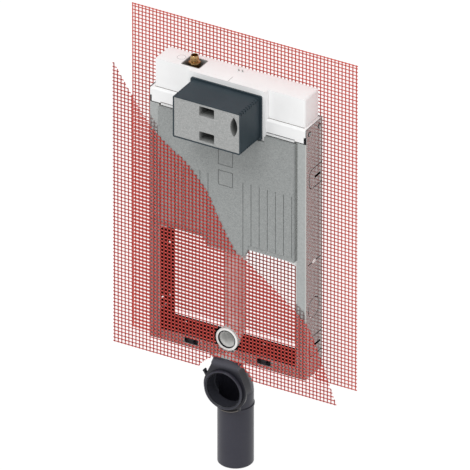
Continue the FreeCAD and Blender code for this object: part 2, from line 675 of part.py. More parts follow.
def shaft_plug():
    front = -SHAFT_PROUD + PLUG_INSET
    gap = SHAFT_WALL + FIT
    shape = box(-SHAFT_WIDTH / 2 + gap, SHAFT_WIDTH / 2 - gap, front, COVER_SETBACK,
                shaft_foot + gap, shaft_foot + SHAFT_HEIGHT - gap)
    for side in (-1, 1):
        middle = shaft_middle + side * PLUG_WINDOW_OFFSET
        shape = shape.cut(rounded_slab(-PLUG_WINDOW_WIDTH / 2, PLUG_WINDOW_WIDTH / 2,
                                       middle - PLUG_WINDOW_HEIGHT / 2, middle + PLUG_WINDOW_HEIGHT / 2,
                                       PLUG_WINDOW_CORNER, front - OVERRUN, front + PLUG_WINDOW_DEPTH))
    return shape.cut(grip(front - OVERRUN, front + PLUG_GRIP_DEPTH))


def support_bracket():
    """The right-hand bracket under the cistern, with the tongue that clips into the web."""
    top = PANEL_FOOT - FIT
    foot = top - BRACKET_HEIGHT
    back = rear_inside
    end = web_inside - BRACKET_END_GAP
    under = top - BRACKET_RIB
    plate = box(BRACKET_INNER, end, BRACKET_FRONT, back, under, top)
    wall = box(end - BRACKET_RIB, end, BRACKET_FRONT, back, foot, top)
    ribs = []
    for place in range(BRACKET_RIB_COUNT):
        start = BRACKET_FRONT + place * (back - BRACKET_FRONT - BRACKET_RIB) / (BRACKET_RIB_COUNT - 1)
        ribs.append(outline([(BRACKET_INNER, under), (end, under), (end, foot), (end - BRACKET_RIB, foot)],
                            start, start + BRACKET_RIB))
    middle = (foot + top) / 2
    tongue = side_slab(TONGUE_FRONT, TONGUE_FRONT + TONGUE_LENGTH, middle - TONGUE_HEIGHT / 2,
                       middle + TONGUE_HEIGHT / 2, TONGUE_HEIGHT * SLOT_ROUND)
    tongue = tongue.common(box(0, half_frame, 0, FRAME_DEPTH, foot, top))
    root = box(end - BRACKET_RIB, web_inside, TONGUE_FRONT, TONGUE_FRONT + TONGUE_LENGTH,
               middle - TONGUE_HEIGHT / 2, middle + TONGUE_HEIGHT / 2)
    root = root.common(box(0, web_inside - FIT, 0, FRAME_DEPTH, foot, top))
    return joined([plate, wall, root, tongue] + ribs)


def flush_pipe():
    foot = FLUSH_HEIGHT + FLUSH_BEND
    top = PANEL_FOOT - FIT
    return tube(FLUSH_RADIUS, FLUSH_RADIUS - FLUSH_WALL, V(0, PIPE_DEPTH, foot), ALONG_Z, top - foot)


def flush_elbow():
    outer = solid_bend(FLUSH_RADIUS, flush_bend_front, FLUSH_HEIGHT, FLUSH_BEND, 90)
    inner = solid_bend(FLUSH_RADIUS - FLUSH_WALL, flush_bend_front, FLUSH_HEIGHT, FLUSH_BEND, 90)
    return outer.cut(inner)


def flush_sleeve():
    start = V(0, -SLEEVE_PROUD, FLUSH_HEIGHT)
    shape = tube(SLEEVE_RADIUS, SLEEVE_BORE, start, ALONG_Y, flush_bend_front + SLEEVE_PROUD)
    return shape.cut(rod(SLEEVE_BORE + SEAL_WIDTH, start, ALONG_Y, SEAL_DEPTH))


def flush_seal():
    start = V(0, -SLEEVE_PROUD + FIT, FLUSH_HEIGHT)
    return tube(SLEEVE_BORE + SEAL_WIDTH, SLEEVE_BORE, start, ALONG_Y, SEAL_DEPTH - FIT)


def drain_socket():
    """The mouth that takes the bowl's outlet, turned about the drain's axis."""
    front = -SOCKET_PROUD
    back = drain_bend_front
    profile = [(SOCKET_BORE, front), (SOCKET_RADIUS, front), (SOCKET_RADIUS, front + SOCKET_RIM),
               (SOCKET_NECK, front + SOCKET_RIM), (SOCKET_NECK, back), (SOCKET_BORE, back)]
    corners = [V(0, y, drain_height + r) for r, y in profile]
    face = Part.Face(Part.makePolygon(corners + corners[:1]))
    shape = face.revolve(V(0, 0, drain_height), ALONG_Y, 360)
    start = V(0, front + SOCKET_RIM / 2, drain_height)
    recess = rod(SOCKET_BORE + DRAIN_SEAL, start, ALONG_Y, SOCKET_RIM / 2)
    return shape.cut(recess)


def drain_seal():
    start = V(0, -SOCKET_PROUD + SOCKET_RIM / 2, drain_height)
    return tube(SOCKET_BORE + DRAIN_SEAL, SOCKET_BORE, start, ALONG_Y, SOCKET_RIM / 2)


def drain_bend():
    inner = DRAIN_RADIUS - DRAIN_WALL
    tail_start = V(0, PIPE_DEPTH, drain_joint)
    turn = solid_bend(DRAIN_RADIUS, drain_bend_front, drain_height, DRAIN_BEND, -90)
    tail = rod(DRAIN_RADIUS, tail_start, ALONG_Z, DRAIN_TAIL)
    bead = rod(BEAD_RADIUS, tail_start, ALONG_Z, BEAD_HEIGHT)
    mouth = rod(SOCKET_NECK, V(0, drain_bend_front, drain_height), ALONG_Y, DRAIN_WALL)
    way = solid_bend(inner, drain_bend_front, drain_height, DRAIN_BEND, -90)
    socket_room = rod(SOCKET_NECK, V(0, -SOCKET_PROUD, drain_height), ALONG_Y,
                      SOCKET_PROUD + drain_bend_front)
    outer = joined([turn, tail, bead, mouth])
    return outer.cut([way, rod(inner, tail_start, ALONG_Z, DRAIN_TAIL), socket_room])


def drain_pipe():
    start = V(0, PIPE_DEPTH, drain_joint - DRAIN_LENGTH)
    shape = tube(DRAIN_RADIUS, DRAIN_RADIUS - DRAIN_WALL, start, ALONG_Z, DRAIN_LENGTH)
    middle = 2 * math.pi * (DRAIN_RADIUS - DRAIN_WALL / 2)
    edges = [edge for edge in shape.Edges if edge.BoundBox.ZMax < start.z + FIT and edge.Length > middle]
    return shape.makeChamfer(DRAIN_CHAMFER, edges)


def drain_clamp():
    """The plastic clamp that hooks on the rail's tab and holds the drain's socket."""
    half = CLAMP_HEAD_WIDTH / 2
    head = Part.Face(Part.makePolygon([V(-half, y, z) for y, z in (
        (-FIT, CLAMP_HEAD_TOP), (-CLAMP_FRONT, CLAMP_HEAD_FOOT), (-CLAMP_FRONT, drain_height),
        (CLAMP_BACK, drain_height), (CLAMP_BACK, CLAMP_HEAD_TOP), (-FIT, CLAMP_HEAD_TOP))]))
    head = head.extrude(V(CLAMP_HEAD_WIDTH, 0, 0))
    start = V(0, -CLAMP_FRONT, drain_height)
    length = CLAMP_FRONT + CLAMP_BACK
    ring = rod(CLAMP_RING, start, ALONG_Y, length)
    hip = CLAMP_RING * math.cos(SHOULDER_ANGLE)
    hip_height = drain_height + CLAMP_RING * math.sin(SHOULDER_ANGLE)
    shoulder = outline([(-half, CLAMP_HEAD_FOOT - SHOULDER_DROP), (-hip, hip_height), (hip, hip_height),
                        (half, CLAMP_HEAD_FOOT - SHOULDER_DROP)], -CLAMP_FRONT, CLAMP_BACK)
    lip = rod(CLAMP_RING + CLAMP_LIP, start, ALONG_Y, CLAMP_LIP_DEPTH)
    lip = lip.common(box(0, CLAMP_LIP_WIDTH, -CLAMP_FRONT, 0, drain_height - FRAME_WIDTH, drain_height))
    shape = joined([head, ring, shoulder, lip])
    hole = rod(SOCKET_NECK + FIT, V(0, -CLAMP_FRONT - OVERRUN, drain_height), ALONG_Y, length + 2 * OVERRUN)
    tab_room = box(-FRAME_WIDTH, FRAME_WIDTH, -FIT, SHEET + FIT, -TAB_DROP - FIT, 0)
    bend_room = box(-FRAME_WIDTH, FRAME_WIDTH, drain_pipe_front - FIT, FRAME_DEPTH,
                    drain_height - FRAME_WIDTH, drain_height)
    return shape.cut([hole, tab_room, bend_room])


def clamp_latch():
    """The finger at the clamp's upper left, which frees it from the socket."""
    back = -CLAMP_FRONT + LATCH_DEPTH
    half = LATCH_WIDTH / 2
    finger = box(-half, half, -CLAMP_FRONT, back, -LATCH_WIDTH, LATCH_HEIGHT)
    head = rod(LATCH_HEAD, V(0, -CLAMP_FRONT, LATCH_HEIGHT), ALONG_Y, LATCH_DEPTH)
    shape = joined([finger, head])
    shape.rotate(V(0, 0, 0), ALONG_Y, -LATCH_LEAN)
    shape.translate(V(-CLAMP_RING * math.cos(LATCH_ANGLE), 0,
                      drain_height + CLAMP_RING * math.sin(LATCH_ANGLE)))
    return shape.cut(drain_clamp())


def strand_places(cells, first):
    """Every drawn strand's place: the border strands and a regular choice of those between them."""
    places = []
    for number in range(cells + 1):
        if number in (0, cells) or number % MESH_SKIP_COUNT == cells // 2 % MESH_SKIP_COUNT:
            places.append(first + number * MESH_PITCH)
    return places


def cut_curve():
    """The wavy upper edge along which the front mesh is trimmed, from left to right."""
    width = MESH_COLUMN_COUNT * MESH_PITCH
    height = MESH_ROW_COUNT * MESH_PITCH
    curve = Part.BSplineCurve()
    curve.interpolate([V(x * width, 0, MESH_FRONT_FOOT + z * height) for x, z in CUT_SHARES])
    return curve


def curve_at(curve, value, reads):
    """The point of a curve that runs one way, found by halving its parameter range."""
    low = curve.FirstParameter
    high = curve.LastParameter
    rising = reads(curve.value(high)) > reads(curve.value(low))
    for step in range(40):
        middle = (low + high) / 2
        if (reads(curve.value(middle)) < value) == rising:
            low = middle
        else:
            high = middle
    return curve.value(low)


def mesh_strands(foot, depth, trimmed):
    half = MESH_COLUMN_COUNT * MESH_PITCH / 2
    top = foot + MESH_ROW_COUNT * MESH_PITCH
    spread = MESH_STRAND / 2
    curve = cut_curve()
    bars = []
    for x in strand_places(MESH_COLUMN_COUNT, -half):
        high = top + spread
        if trimmed:
            high = min(high, curve_at(curve, x, lambda point: point.x).z)
        if high > foot + spread:
            bars.append(box(x - spread, x + spread, depth, depth + MESH_THICKNESS, foot - spread, high))
    for z in strand_places(MESH_ROW_COUNT, foot):
        right = half + spread
        if trimmed:
            right = min(right, curve_at(curve, z, lambda point: point.z).x)
        if right > -half + spread:
            bars.append(box(-half - spread, right, depth, depth + MESH_THICKNESS, z - spread, z + spread))
    return bars


def mesh_front():
    """The front mesh: a strand end left loose between two openings falls away."""
    shape = joined(mesh_strands(MESH_FRONT_FOOT, mesh_front_depth, True))
    start = V(0, mesh_front_depth - OVERRUN, drain_height)
    length = MESH_THICKNESS + 2 * OVERRUN
    tools = [rod(SOCKET_RADIUS + MESH_DRAIN_CLEARANCE, start, ALONG_Y, length),
             rod(SLEEVE_RADIUS + MESH_SLEEVE_CLEARANCE, V(0, start.y, FLUSH_HEIGHT), ALONG_Y, length)]
    wide = STUD_SLOT_LENGTH / 2 + MESH_SLOT_CLEARANCE
    tall = STUD_SLOT_HEIGHT / 2 + MESH_SLOT_CLEARANCE
    slot = box(slot_middle - wide, slot_middle + wide, start.y, start.y + length,
               STUD_HEIGHT - tall, STUD_HEIGHT + tall)
    cut = shape.cut(tools + both_sides(slot))
    return max(cut.Solids, key=lambda solid: solid.Volume)


def mesh_rear():
    shape = joined(mesh_strands(MESH_REAR_FOOT, mesh_rear_depth, False))
    reach = half_frame - REAR_FLANGE
    gap = box(-reach, reach, 0, 2 * FRAME_DEPTH, MESH_REAR_FOOT - MESH_PITCH, RAIL_HEIGHT + MESH_WALL_GAP)
    return shape.cut(gap)


def pieces():
    stem, fitting = inlet_parts()
    found = {
        "side_upright_right": upright(),
        "side_upright_left": mirrored(upright()),
        "bottom_rail": bottom_rail(),
        "bolt_insert_right": bolt_insert(),
        "bolt_insert_left": mirrored(bolt_insert()),
        "front_panel": front_panel(),
        "cistern_tank": cistern_tank(),
        "tank_outlet": tank_outlet(),
        "cistern_band": cistern_band(),
        "corner_pad_right": corner_pad(),
        "corner_pad_left": mirrored(corner_pad()),
        "cistern_cover": cistern_cover(),
        "valve_pocket_liner": pocket_liner(),
        "inlet_stem": stem,
        "inlet_fitting": fitting,
        "shaft_collar": shaft_collar(),
        "inspection_shaft": inspection_shaft(),
        "shaft_plug": shaft_plug(),
        "support_bracket_right": support_bracket(),
        "support_bracket_left": mirrored(support_bracket()),
        "flush_pipe": flush_pipe(),
        "flush_elbow": flush_elbow(),
        "flush_sleeve": flush_sleeve(),
        "flush_seal": flush_seal(),
        "drain_socket": drain_socket(),
        "drain_seal": drain_seal(),
        "drain_bend": drain_bend(),
        "drain_pipe": drain_pipe(),
        "drain_clamp": drain_clamp(),
        "clamp_latch": clamp_latch(),
        "mesh_front": mesh_front(),
        "mesh_rear": mesh_rear(),
    }
    return found


os.makedirs(OUT, exist_ok=True)
for name, shape in pieces().items():
    placed = shape.copy()
    placed.translate(-origin)
    placed.exportStep(os.path.join(OUT, name + ".step"))
    print(name, placed.ShapeType, len(placed.Solids), round(placed.Volume), placed.isValid())
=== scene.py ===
import json
import math

import bmesh
import bpy
from mathutils import Matrix, Vector


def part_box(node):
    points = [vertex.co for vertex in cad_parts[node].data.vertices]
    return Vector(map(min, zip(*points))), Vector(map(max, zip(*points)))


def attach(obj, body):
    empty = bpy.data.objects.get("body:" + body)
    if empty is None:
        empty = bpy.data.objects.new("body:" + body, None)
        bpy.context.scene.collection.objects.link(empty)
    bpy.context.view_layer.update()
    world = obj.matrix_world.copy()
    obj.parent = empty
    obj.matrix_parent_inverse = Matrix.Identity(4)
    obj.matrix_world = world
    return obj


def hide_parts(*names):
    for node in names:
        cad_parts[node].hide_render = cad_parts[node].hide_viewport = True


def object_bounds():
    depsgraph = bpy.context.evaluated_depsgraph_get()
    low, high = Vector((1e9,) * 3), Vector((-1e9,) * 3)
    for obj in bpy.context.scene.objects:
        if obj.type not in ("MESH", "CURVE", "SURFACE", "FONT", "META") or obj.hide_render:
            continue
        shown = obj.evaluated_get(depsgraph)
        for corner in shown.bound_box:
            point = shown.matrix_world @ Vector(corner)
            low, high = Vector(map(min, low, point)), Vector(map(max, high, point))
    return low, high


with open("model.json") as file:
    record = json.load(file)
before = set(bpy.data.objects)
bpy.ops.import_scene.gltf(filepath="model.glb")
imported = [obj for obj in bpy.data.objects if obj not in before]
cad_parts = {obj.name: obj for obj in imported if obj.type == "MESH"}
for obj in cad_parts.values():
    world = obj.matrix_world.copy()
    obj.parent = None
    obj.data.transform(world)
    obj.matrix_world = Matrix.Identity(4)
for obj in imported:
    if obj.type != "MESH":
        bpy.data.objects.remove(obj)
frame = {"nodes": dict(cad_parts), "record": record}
cad_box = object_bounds()

# Measures are in millimetres, as on the part's drawing: across the frame, depth behind the front
# flanges and height above the lower edge of the uprights. Angles are in degrees.
MM = 0.001

# The photograph's view, with its distance and the point aimed at in metres
VIEW_AZIMUTH = 30.026
VIEW_ELEVATION = 29.819
VIEW_DISTANCE = 54.076
VIEW_LENS = 1700.0
VIEW_SENSOR = 36.0
VIEW_AIM = (-0.00181, -0.04249, 0.31194)

# Light, and a floor whose side is in metres
WHITE = (1.0, 1.0, 1.0, 1.0)
SKY_STRENGTH = 0.77
SUN_STRENGTH = 1.0
SUN_DIRECTION = (0.06, 0.58, -0.81)
SUN_SPREAD = 25.0
FLOOR_SIDE = 30.0
FLOOR_TONE = (0.9, 0.9, 0.9, 1.0)
FLOOR_GLOW = 0.9
FLOOR_BRIGHTNESS = 1.06

# Patterns: a part is the first pattern's share of two, and a stretch is the range that counts
SLOW_SCALE = 14.0
SLOW_DETAIL = 3.0
SLOW_STRETCH = (0.35, 0.65)
SLOW_PART = 0.8
FINE_DETAIL = 2.0
FINE_RELIEF = 0.2
FOAM_JOINT = 0.10
FOAM_DOME = 0.35
FOAM_RELIEF = 0.5
STREAK_SCALES = (900.0, 900.0, 12.0)
CRYSTAL_PART = 0.6
CRYSTAL_ROUGHNESS = 0.05
FIBRE_SLANT = 35.0
FIBRE_WAVE = 0.3
FIBRE_BEND = 1.5
FIBRE_PART = 0.35
SKIN_SCALE = 260.0
SKIN_STRETCH = (0.35, 0.7)
PAIR_STRENGTH = 0.8
# Painted shade, with the yarn's darker core, where yarns cross
KNOT_STRETCH = (1.3, 0.6)
# Painted light that makes the rear net paler
REAR_LIGHT_STRENGTH = 0.25

# Woven nets
NET_PITCH = 10.0
NET_HALF_WIDTH = 314.6
NET_LOOSE_END = 1.9
NET_EDGE_SHIFT = 4.0
NET_SHARP_ANGLE = 80.0
MIDDLE_DEPTH = 40.0
FRONT_NET_COLUMN = 7.5
FRONT_NET_ROW = 4.4
REAR_NET_COLUMN = 2.4
REAR_NET_ROW = 8.7
SHORTEST_STRETCH = 1.0
YARN_RADIUS = 0.62
YARN_OFFSET = 0.38
YARN_SPREAD = 2.15
YARN_SIDES = 4
YARN_STEPS_PER_CELL = 2
WEFT_WIDTH = 3.4
WEFT_THICKNESS = 0.9
WEFT_SIDES = 6
KNOT_SIZE = 1.7
PAIR_WIDTH = 4.4

# Openings of the nets and the pieces that they go round
DRAIN_HEIGHT = -80.0
DRAIN_OPENING = 85.5
SLEEVE_OPENING = 35.5
SLEEVE_GAP_SIDEWAYS = 5.0
SLEEVE_GAP_HEIGHT = 60.5
SLOT_MIDDLES = (-97.0, 108.0)
SLOT_LENGTH = 40.0
SLOT_HEIGHT = 18.0
SLOT_UP = 23.8
WALL_GAP_TOP = 41.0
WALL_GAP_REACH = 197.5

# The wave along which the front net is trimmed, as places across and up
CUT_LINE = ((-320, 758), (-271, 683), (-215, 604), (-154, 553), (-108, 523), (-51, 459),
            (-17, 391), (29, 315), (69, 290), (199, 192), (244, 140), (315, -42), (318, -50))
CUT_LINE_STEPS = 12

# How finely pieces are made
SHARP_ANGLE = 35.0
ROUND_STEPS = 48
MOUTH_STEPS = 96
ARC_STEPS = 24
ARC_SIDES = 8
BEVEL_SEGMENTS = 2
WELD_DISTANCE = 0.005
CUT_TOLERANCE = 0.001

# The inlet: radii, heights above its foot, and the neck and the thread's stop below its top
INLET_BORE = 8.2
INLET_FOOT = 10.0
INLET_RIM = 9.2
INLET_NECK = 2.6
INLET_CHAMFER = 0.4
BORE_CHAMFER = 0.5
HEX_FOOT = 3.0
HEX_TOP = 12.0
HEX_ROUNDING = 0.7
SHOULDER = 12.6
SHOULDER_RISE = 0.8
THREAD_ROOT = 9.7
THREAD_MIDDLE = 9.85
THREAD_DEPTH = 0.65
THREAD_PITCH = 1.9
THREAD_START = 14.4
THREAD_STOP = 3.4

# Screws on the uprights, with the radius and length pairs of their profiles
SCREW_DEPTHS = (17.5, 65.0)
SCREW_HEIGHT = 682.3
WASHER_PROFILE = ((0.0, 0.0), (6.6, 0.0), (6.6, 0.4), (6.2, 0.8), (0.0, 0.8))
HEAD_PROFILE = ((0.0, 0.7), (4.5, 0.7), (4.5, 1.4), (3.6, 2.2), (2.2, 2.4), (1.9, 1.4), (0.0, 1.4))

# Small things on the cistern's cover, with heights from the cover's top
SEAM_ACROSS = (1.4, 2.6)
SEAM_DEPTHS = (-2.8, 24.0)
SEAM_HEIGHTS = (-0.2, 0.15)
HOLE_PLACE = (-155.0, 45.0)
HOLE_PROFILE = ((10.2, -0.2), (11.2, -0.2), (11.0, 0.3), (10.4, 0.3))
POST_PLACES = (-1.5, 8.9)
POST_DEPTH = 54.0
POST_SIZE = (2.5, 2.5, 6.0)
POST_SUNK = 0.5
POST_ROUNDING = 0.3

# Fine dark lines of painted shade on the band round the cistern: in the joint under the cover, in the
# slit and in the gap under the band
LINE_START = 109.0
JOINT_END = 209.0
JOINT_DEPTHS = (10.2, 11.2)
JOINT_HEIGHTS = (699.0, 699.9)
SLIT_END = 188.0
SLIT_DEPTHS = (-0.15, 0.3)
SLIT_HEIGHTS = (664.5, 666.1)
BAND_FOOT_DEPTHS = (0.1, 1.2)
BAND_FOOT_HEIGHTS = (656.9, 658.3)

# The drain's mouth, with radii and lengths from its front
MOUTH_LIP = ((49.6, 0.0), (51.2, 0.0), (51.8, 0.25), (52.2, 0.7))
MOUTH_THROAT = ((47.6, 3.4), (48.4, 1.6), (48.8, 0.9), (49.2, 0.4))
MOUTH_BORE = 45.5
THROAT_END = 5.0
NECK_RADIUS = 49.5
RIM_START = 1.4
RIM_END = 8.0
RIM_CHAMFER = 0.6

# Arcs on the drain's clamp, a painted highlight on its lip and painted shade in the groove above it,
# whose ends are angles from straight below
CLAMP_FACE = -14.0
LIP_RADIUS = 63.2
LIP_SECTION = (1.1, 0.9)
LIP_ENDS = (9.0, -38.0)
GROOVE_RADIUS = 59.6
GROOVE_SECTION = (2.2, 0.4)
GROOVE_ENDS = (16.0, -36.0)

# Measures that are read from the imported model
upright_low, upright_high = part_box("side_upright_right")
FRONT = upright_low.y
FOOT = upright_low.z
OUTER_WEB = upright_high.x / MM
INNER_LIP = upright_low.x / MM
COVER_TOP = (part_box("valve_pocket_liner")[1].z - FOOT) / MM
PLUG_FRONT = (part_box("shaft_plug")[0].y - FRONT) / MM
CLAMP_TOP = (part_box("drain_clamp")[1].z - FOOT) / MM

ACROSS = Vector((1.0, 0.0, 0.0))
BACKWARDS = Vector((0.0, 1.0, 0.0))
UPWARDS = Vector((0.0, 0.0, 1.0))


def spot(x, depth, height):
    """A point of the drawing, in the frame's metres."""
    return Vector((x * MM, FRONT + depth * MM, FOOT + height * MM))


# Shader nodes

COLOUR = "NodeSocketColor"
NUMBER = "NodeSocketFloat"
VECTOR = "NodeSocketVector"
GREY = (0.5, 0.5, 0.5, 1.0)
FIRST_COLOUR = 6
SECOND_COLOUR = 7
MIXED_COLOUR = 2


def new_group(name, inputs, outputs):
    """A node group with named sockets, and its two end nodes."""
    group = bpy.data.node_groups.new(name, "ShaderNodeTree")
    for label, kind, value in inputs:
        socket = group.interface.new_socket(name=label, in_out="INPUT", socket_type=kind)
        socket.default_value = value
    for label, kind in outputs:
        group.interface.new_socket(name=label, in_out="OUTPUT", socket_type=kind)
    start = group.nodes.new("NodeGroupInput")
    end = group.nodes.new("NodeGroupOutput")
    return group, start, end


def put_out(group, end, **results):
    """Links a group's results to its outputs of the same names."""
    for label, result in results.items():
        group.links.new(result, end.inputs[label])
    return group


def add_node(tree, kind, inputs=(), **settings):
    """A node with its settings. Each input, by name or number, takes a value or a node's output."""
    node = tree.nodes.new(kind)
    for label, value in settings.items():
        setattr(node, label, value)
    for label, value in dict(inputs).items():
        if isinstance(value, bpy.types.NodeSocket):
            tree.links.new(value, node.inputs[label])
        else:
            node.inputs[label].default_value = value
    return node


def blend_colours(tree, factor, first, second):
    """A mix of two colours."""
    inputs = {"Factor": factor, FIRST_COLOUR: first, SECOND_COLOUR: second}
    return add_node(tree, "ShaderNodeMix", inputs, data_type="RGBA").outputs[MIXED_COLOUR]


def calculate(tree, operation, *values):
    """The result of one calculation."""
    return add_node(tree, "ShaderNodeMath", dict(enumerate(values)), operation=operation).outputs[0]


def calculate_vector(tree, operation, *values):
    """The outputs of one calculation with vectors."""
    node = add_node(tree, "ShaderNodeVectorMath", dict(enumerate(values)), operation=operation)
    return node.outputs


def limited(tree, value, low, high):
    """A value stretched so that low becomes 0 and high becomes 1."""
    inputs = {"Value": value, "From Min": low, "From Max": high}
    return add_node(tree, "ShaderNodeMapRange", inputs, clamp=True).outputs[0]


def added(tree, first, second, part):
    """Two patterns together: the first has this part of the whole, and the second has the rest."""
    return calculate(tree, "ADD", calculate(tree, "MULTIPLY", first, part),
                     calculate(tree, "MULTIPLY", second, 1.0 - part))


def object_point(tree):
    """The place on the surface, in the object's own coordinates."""
    return add_node(tree, "ShaderNodeTexCoord").outputs["Object"]


def coordinates(tree):
    """The object's own coordinates, as outputs X, Y and Z."""
    return add_node(tree, "ShaderNodeSeparateXYZ", {0: object_point(tree)}).outputs


def noise(tree, place, scale, detail):
    """A soft noise."""
    inputs = {"Vector": place, "Scale": scale, "Detail": detail}
    return add_node(tree, "ShaderNodeTexNoise", inputs).outputs["Fac"]


def cells(tree, place, size, feature):
    """The outputs of a pattern of cells of one size."""
    inputs = {"Vector": place, "Scale": calculate(tree, "DIVIDE", 1.0, size)}
    return add_node(tree, "ShaderNodeTexVoronoi", inputs, feature=feature).outputs


def random_masks(tree, colour):
    """The three values of a cell's random colour, as masks that don't depend on each other."""
    return add_node(tree, "ShaderNodeSeparateColor", {0: colour}).outputs[:3]


# Shader groups

def moulded_grain():
    """Fine spark-eroded grain of moulded plastic with a slow change of tone."""
    group, start, end = new_group(
        "moulded_grain",
        (("Tone", COLOUR, GREY), ("Second Tone", COLOUR, GREY), ("Grain Size", NUMBER, 0.0006)),
        (("Colour", COLOUR), ("Height", NUMBER)))
    place = object_point(group)
    slow = limited(group, noise(group, place, SLOW_SCALE, SLOW_DETAIL), *SLOW_STRETCH)
    scale = calculate(group, "DIVIDE", 1.0, start.outputs["Grain Size"])
    fine = noise(group, place, scale, FINE_DETAIL)
    share = added(group, slow, fine, SLOW_PART)
    colour = blend_colours(group, share, start.outputs["Tone"], start.outputs["Second Tone"])
    return put_out(group, end, Colour=colour, Height=fine)


def foam_beads():
    """Fused beads of moulded foam: each bead has its own tone, with dark joints and pin holes."""
    group, start, end = new_group(
        "foam_beads",
        (("Tone", COLOUR, GREY), ("Second Tone", COLOUR, GREY), ("Joint Tone", COLOUR, GREY),
         ("Bead Size", NUMBER, 0.003)),
        (("Colour", COLOUR), ("Height", NUMBER)))
    place = object_point(group)
    beads = cells(group, place, start.outputs["Bead Size"], "F1")
    joints = cells(group, place, start.outputs["Bead Size"], "DISTANCE_TO_EDGE")["Distance"]
    tone, openness, _ = random_masks(group, beads["Color"])
    colour = blend_colours(group, tone, start.outputs["Tone"], start.outputs["Second Tone"])
    gap = calculate(group, "MULTIPLY", limited(group, joints, FOAM_JOINT, 0.0), openness)
    colour = blend_colours(group, gap, colour, start.outputs["Joint Tone"])
    return put_out(group, end, Colour=colour, Height=limited(group, joints, 0.0, FOAM_DOME))


def zinc_spangle():
    """Grains of hot dip zinc: flat crystals that differ in tone and gloss, and rolling streaks."""
    group, start, end = new_group(
        "zinc_spangle",
        (("Tone", COLOUR, GREY), ("Second Tone", COLOUR, GREY), ("Crystal Size", NUMBER, 0.006),
         ("Least Roughness", NUMBER, 0.35)),
        (("Colour", COLOUR), ("Roughness", NUMBER), ("Height", NUMBER)))
    place = object_point(group)
    crystals = cells(group, place, start.outputs["Crystal Size"], "F1")
    tone, dullness, height = random_masks(group, crystals["Color"])
    drawn_out = add_node(group, "ShaderNodeMapping", {"Vector": place, "Scale": STREAK_SCALES})
    streaks = noise(group, drawn_out.outputs[0], 1.0, FINE_DETAIL)
    share = added(group, tone, streaks, CRYSTAL_PART)
    colour = blend_colours(group, share, start.outputs["Tone"], start.outputs["Second Tone"])
    dullness = calculate(group, "MULTIPLY", dullness, CRYSTAL_ROUGHNESS)
    roughness = calculate(group, "ADD", start.outputs["Least Roughness"], dullness)
    return put_out(group, end, Colour=colour, Roughness=roughness, Height=height)


def yarn_twist():
    """Coated glass yarn: slanting fibres under a patchy skin, a tone for the pairs, painted shade
    with the yarn's darker core where yarns cross, and painted light that makes the rear net paler."""
    group, start, end = new_group(
        "yarn_twist",
        (("Tone", COLOUR, GREY), ("Second Tone", COLOUR, GREY), ("Pair Tone", COLOUR, GREY),
         ("Knot Core And Shade Tone", COLOUR, GREY), ("Rear Light Tone", COLOUR, GREY), ("Fibre Size", NUMBER, 0.0005),
         ("Pitch", NUMBER, 0.01), ("Knot Size", NUMBER, 0.002), ("Pair Width", NUMBER, 0.003),
         ("Middle", NUMBER, 0.0), ("Front Column", NUMBER, 0.0), ("Front Row", NUMBER, 0.0),
         ("Rear Column", NUMBER, 0.0), ("Rear Row", NUMBER, 0.0)),
        (("Colour", COLOUR), ("Height", NUMBER)))
    place = object_point(group)
    slant = (0.0, math.radians(FIBRE_SLANT), 0.0)
    slanted = add_node(group, "ShaderNodeMapping", {"Vector": place, "Rotation": slant}).outputs[0]
    scale = calculate(group, "DIVIDE", FIBRE_WAVE, start.outputs["Fibre Size"])
    waves = {"Vector": slanted, "Scale": scale, "Distortion": FIBRE_BEND}
    fibres = add_node(group, "ShaderNodeTexWave", waves, wave_type="BANDS",
                      bands_direction="X").outputs["Fac"]
    skin = limited(group, noise(group, place, SKIN_SCALE, FINE_DETAIL), *SKIN_STRETCH)
    share = added(group, fibres, skin, FIBRE_PART)
    colour = blend_colours(group, share, start.outputs["Tone"], start.outputs["Second Tone"])
    point = coordinates(group)
    behind = calculate(group, "GREATER_THAN", point["Y"], start.outputs["Middle"])
    half_pitch = calculate(group, "MULTIPLY", start.outputs["Pitch"], 0.5)
    offs = []
    for along, line in (("X", "Column"), ("Z", "Row")):
        front = start.outputs["Front " + line]
        shift = calculate(group, "SUBTRACT", start.outputs["Rear " + line], front)
        origin = calculate(group, "ADD", front, calculate(group, "MULTIPLY", behind, shift))
        off = calculate(group, "SUBTRACT", point[along], origin)
        offs.append(calculate(group, "PINGPONG", off, half_pitch))
    width = calculate(group, "MULTIPLY", offs[0], 2.0)
    paired = calculate(group, "LESS_THAN", width, start.outputs["Pair Width"])
    paired = calculate(group, "MULTIPLY", paired, PAIR_STRENGTH)
    colour = blend_colours(group, paired, colour, start.outputs["Pair Tone"])
    # Painted shade, with the yarn's darker core, where the yarns cross
    squares = [calculate(group, "POWER", off, 2.0) for off in offs]
    off = calculate(group, "SQRT", calculate(group, "ADD", *squares))
    knot = calculate(group, "DIVIDE", off, start.outputs["Knot Size"])
    knot = limited(group, knot, *KNOT_STRETCH)
    colour = blend_colours(group, knot, colour, start.outputs["Knot Core And Shade Tone"])
    # Painted light: the rear net is lifted towards a paler tone
    rear = calculate(group, "MULTIPLY", behind, REAR_LIGHT_STRENGTH)
    colour = blend_colours(group, rear, colour, start.outputs["Rear Light Tone"])
    return put_out(group, end, Colour=colour, Height=fibres)


def recess_shade():
    """The shade that gathers in a recess: the further in, the nearer to the dark tone."""
    group, start, end = new_group(
        "recess_shade",
        (("Colour", COLOUR, GREY), ("Shade Tone", COLOUR, GREY), ("Inwards", VECTOR, (0.0, 1.0, 0.0)),
         ("Start", NUMBER, 0.0), ("Reach", NUMBER, 0.01)),
        (("Colour", COLOUR),))
    way = calculate_vector(group, "DOT_PRODUCT", object_point(group), start.outputs["Inwards"])
    deep = calculate(group, "SUBTRACT", way["Value"], start.outputs["Start"])
    deep = calculate(group, "DIVIDE", deep, start.outputs["Reach"])
    share = limited(group, deep, 0.0, 1.0)
    colour = blend_colours(group, share, start.outputs["Colour"], start.outputs["Shade Tone"])
    return put_out(group, end, Colour=colour)


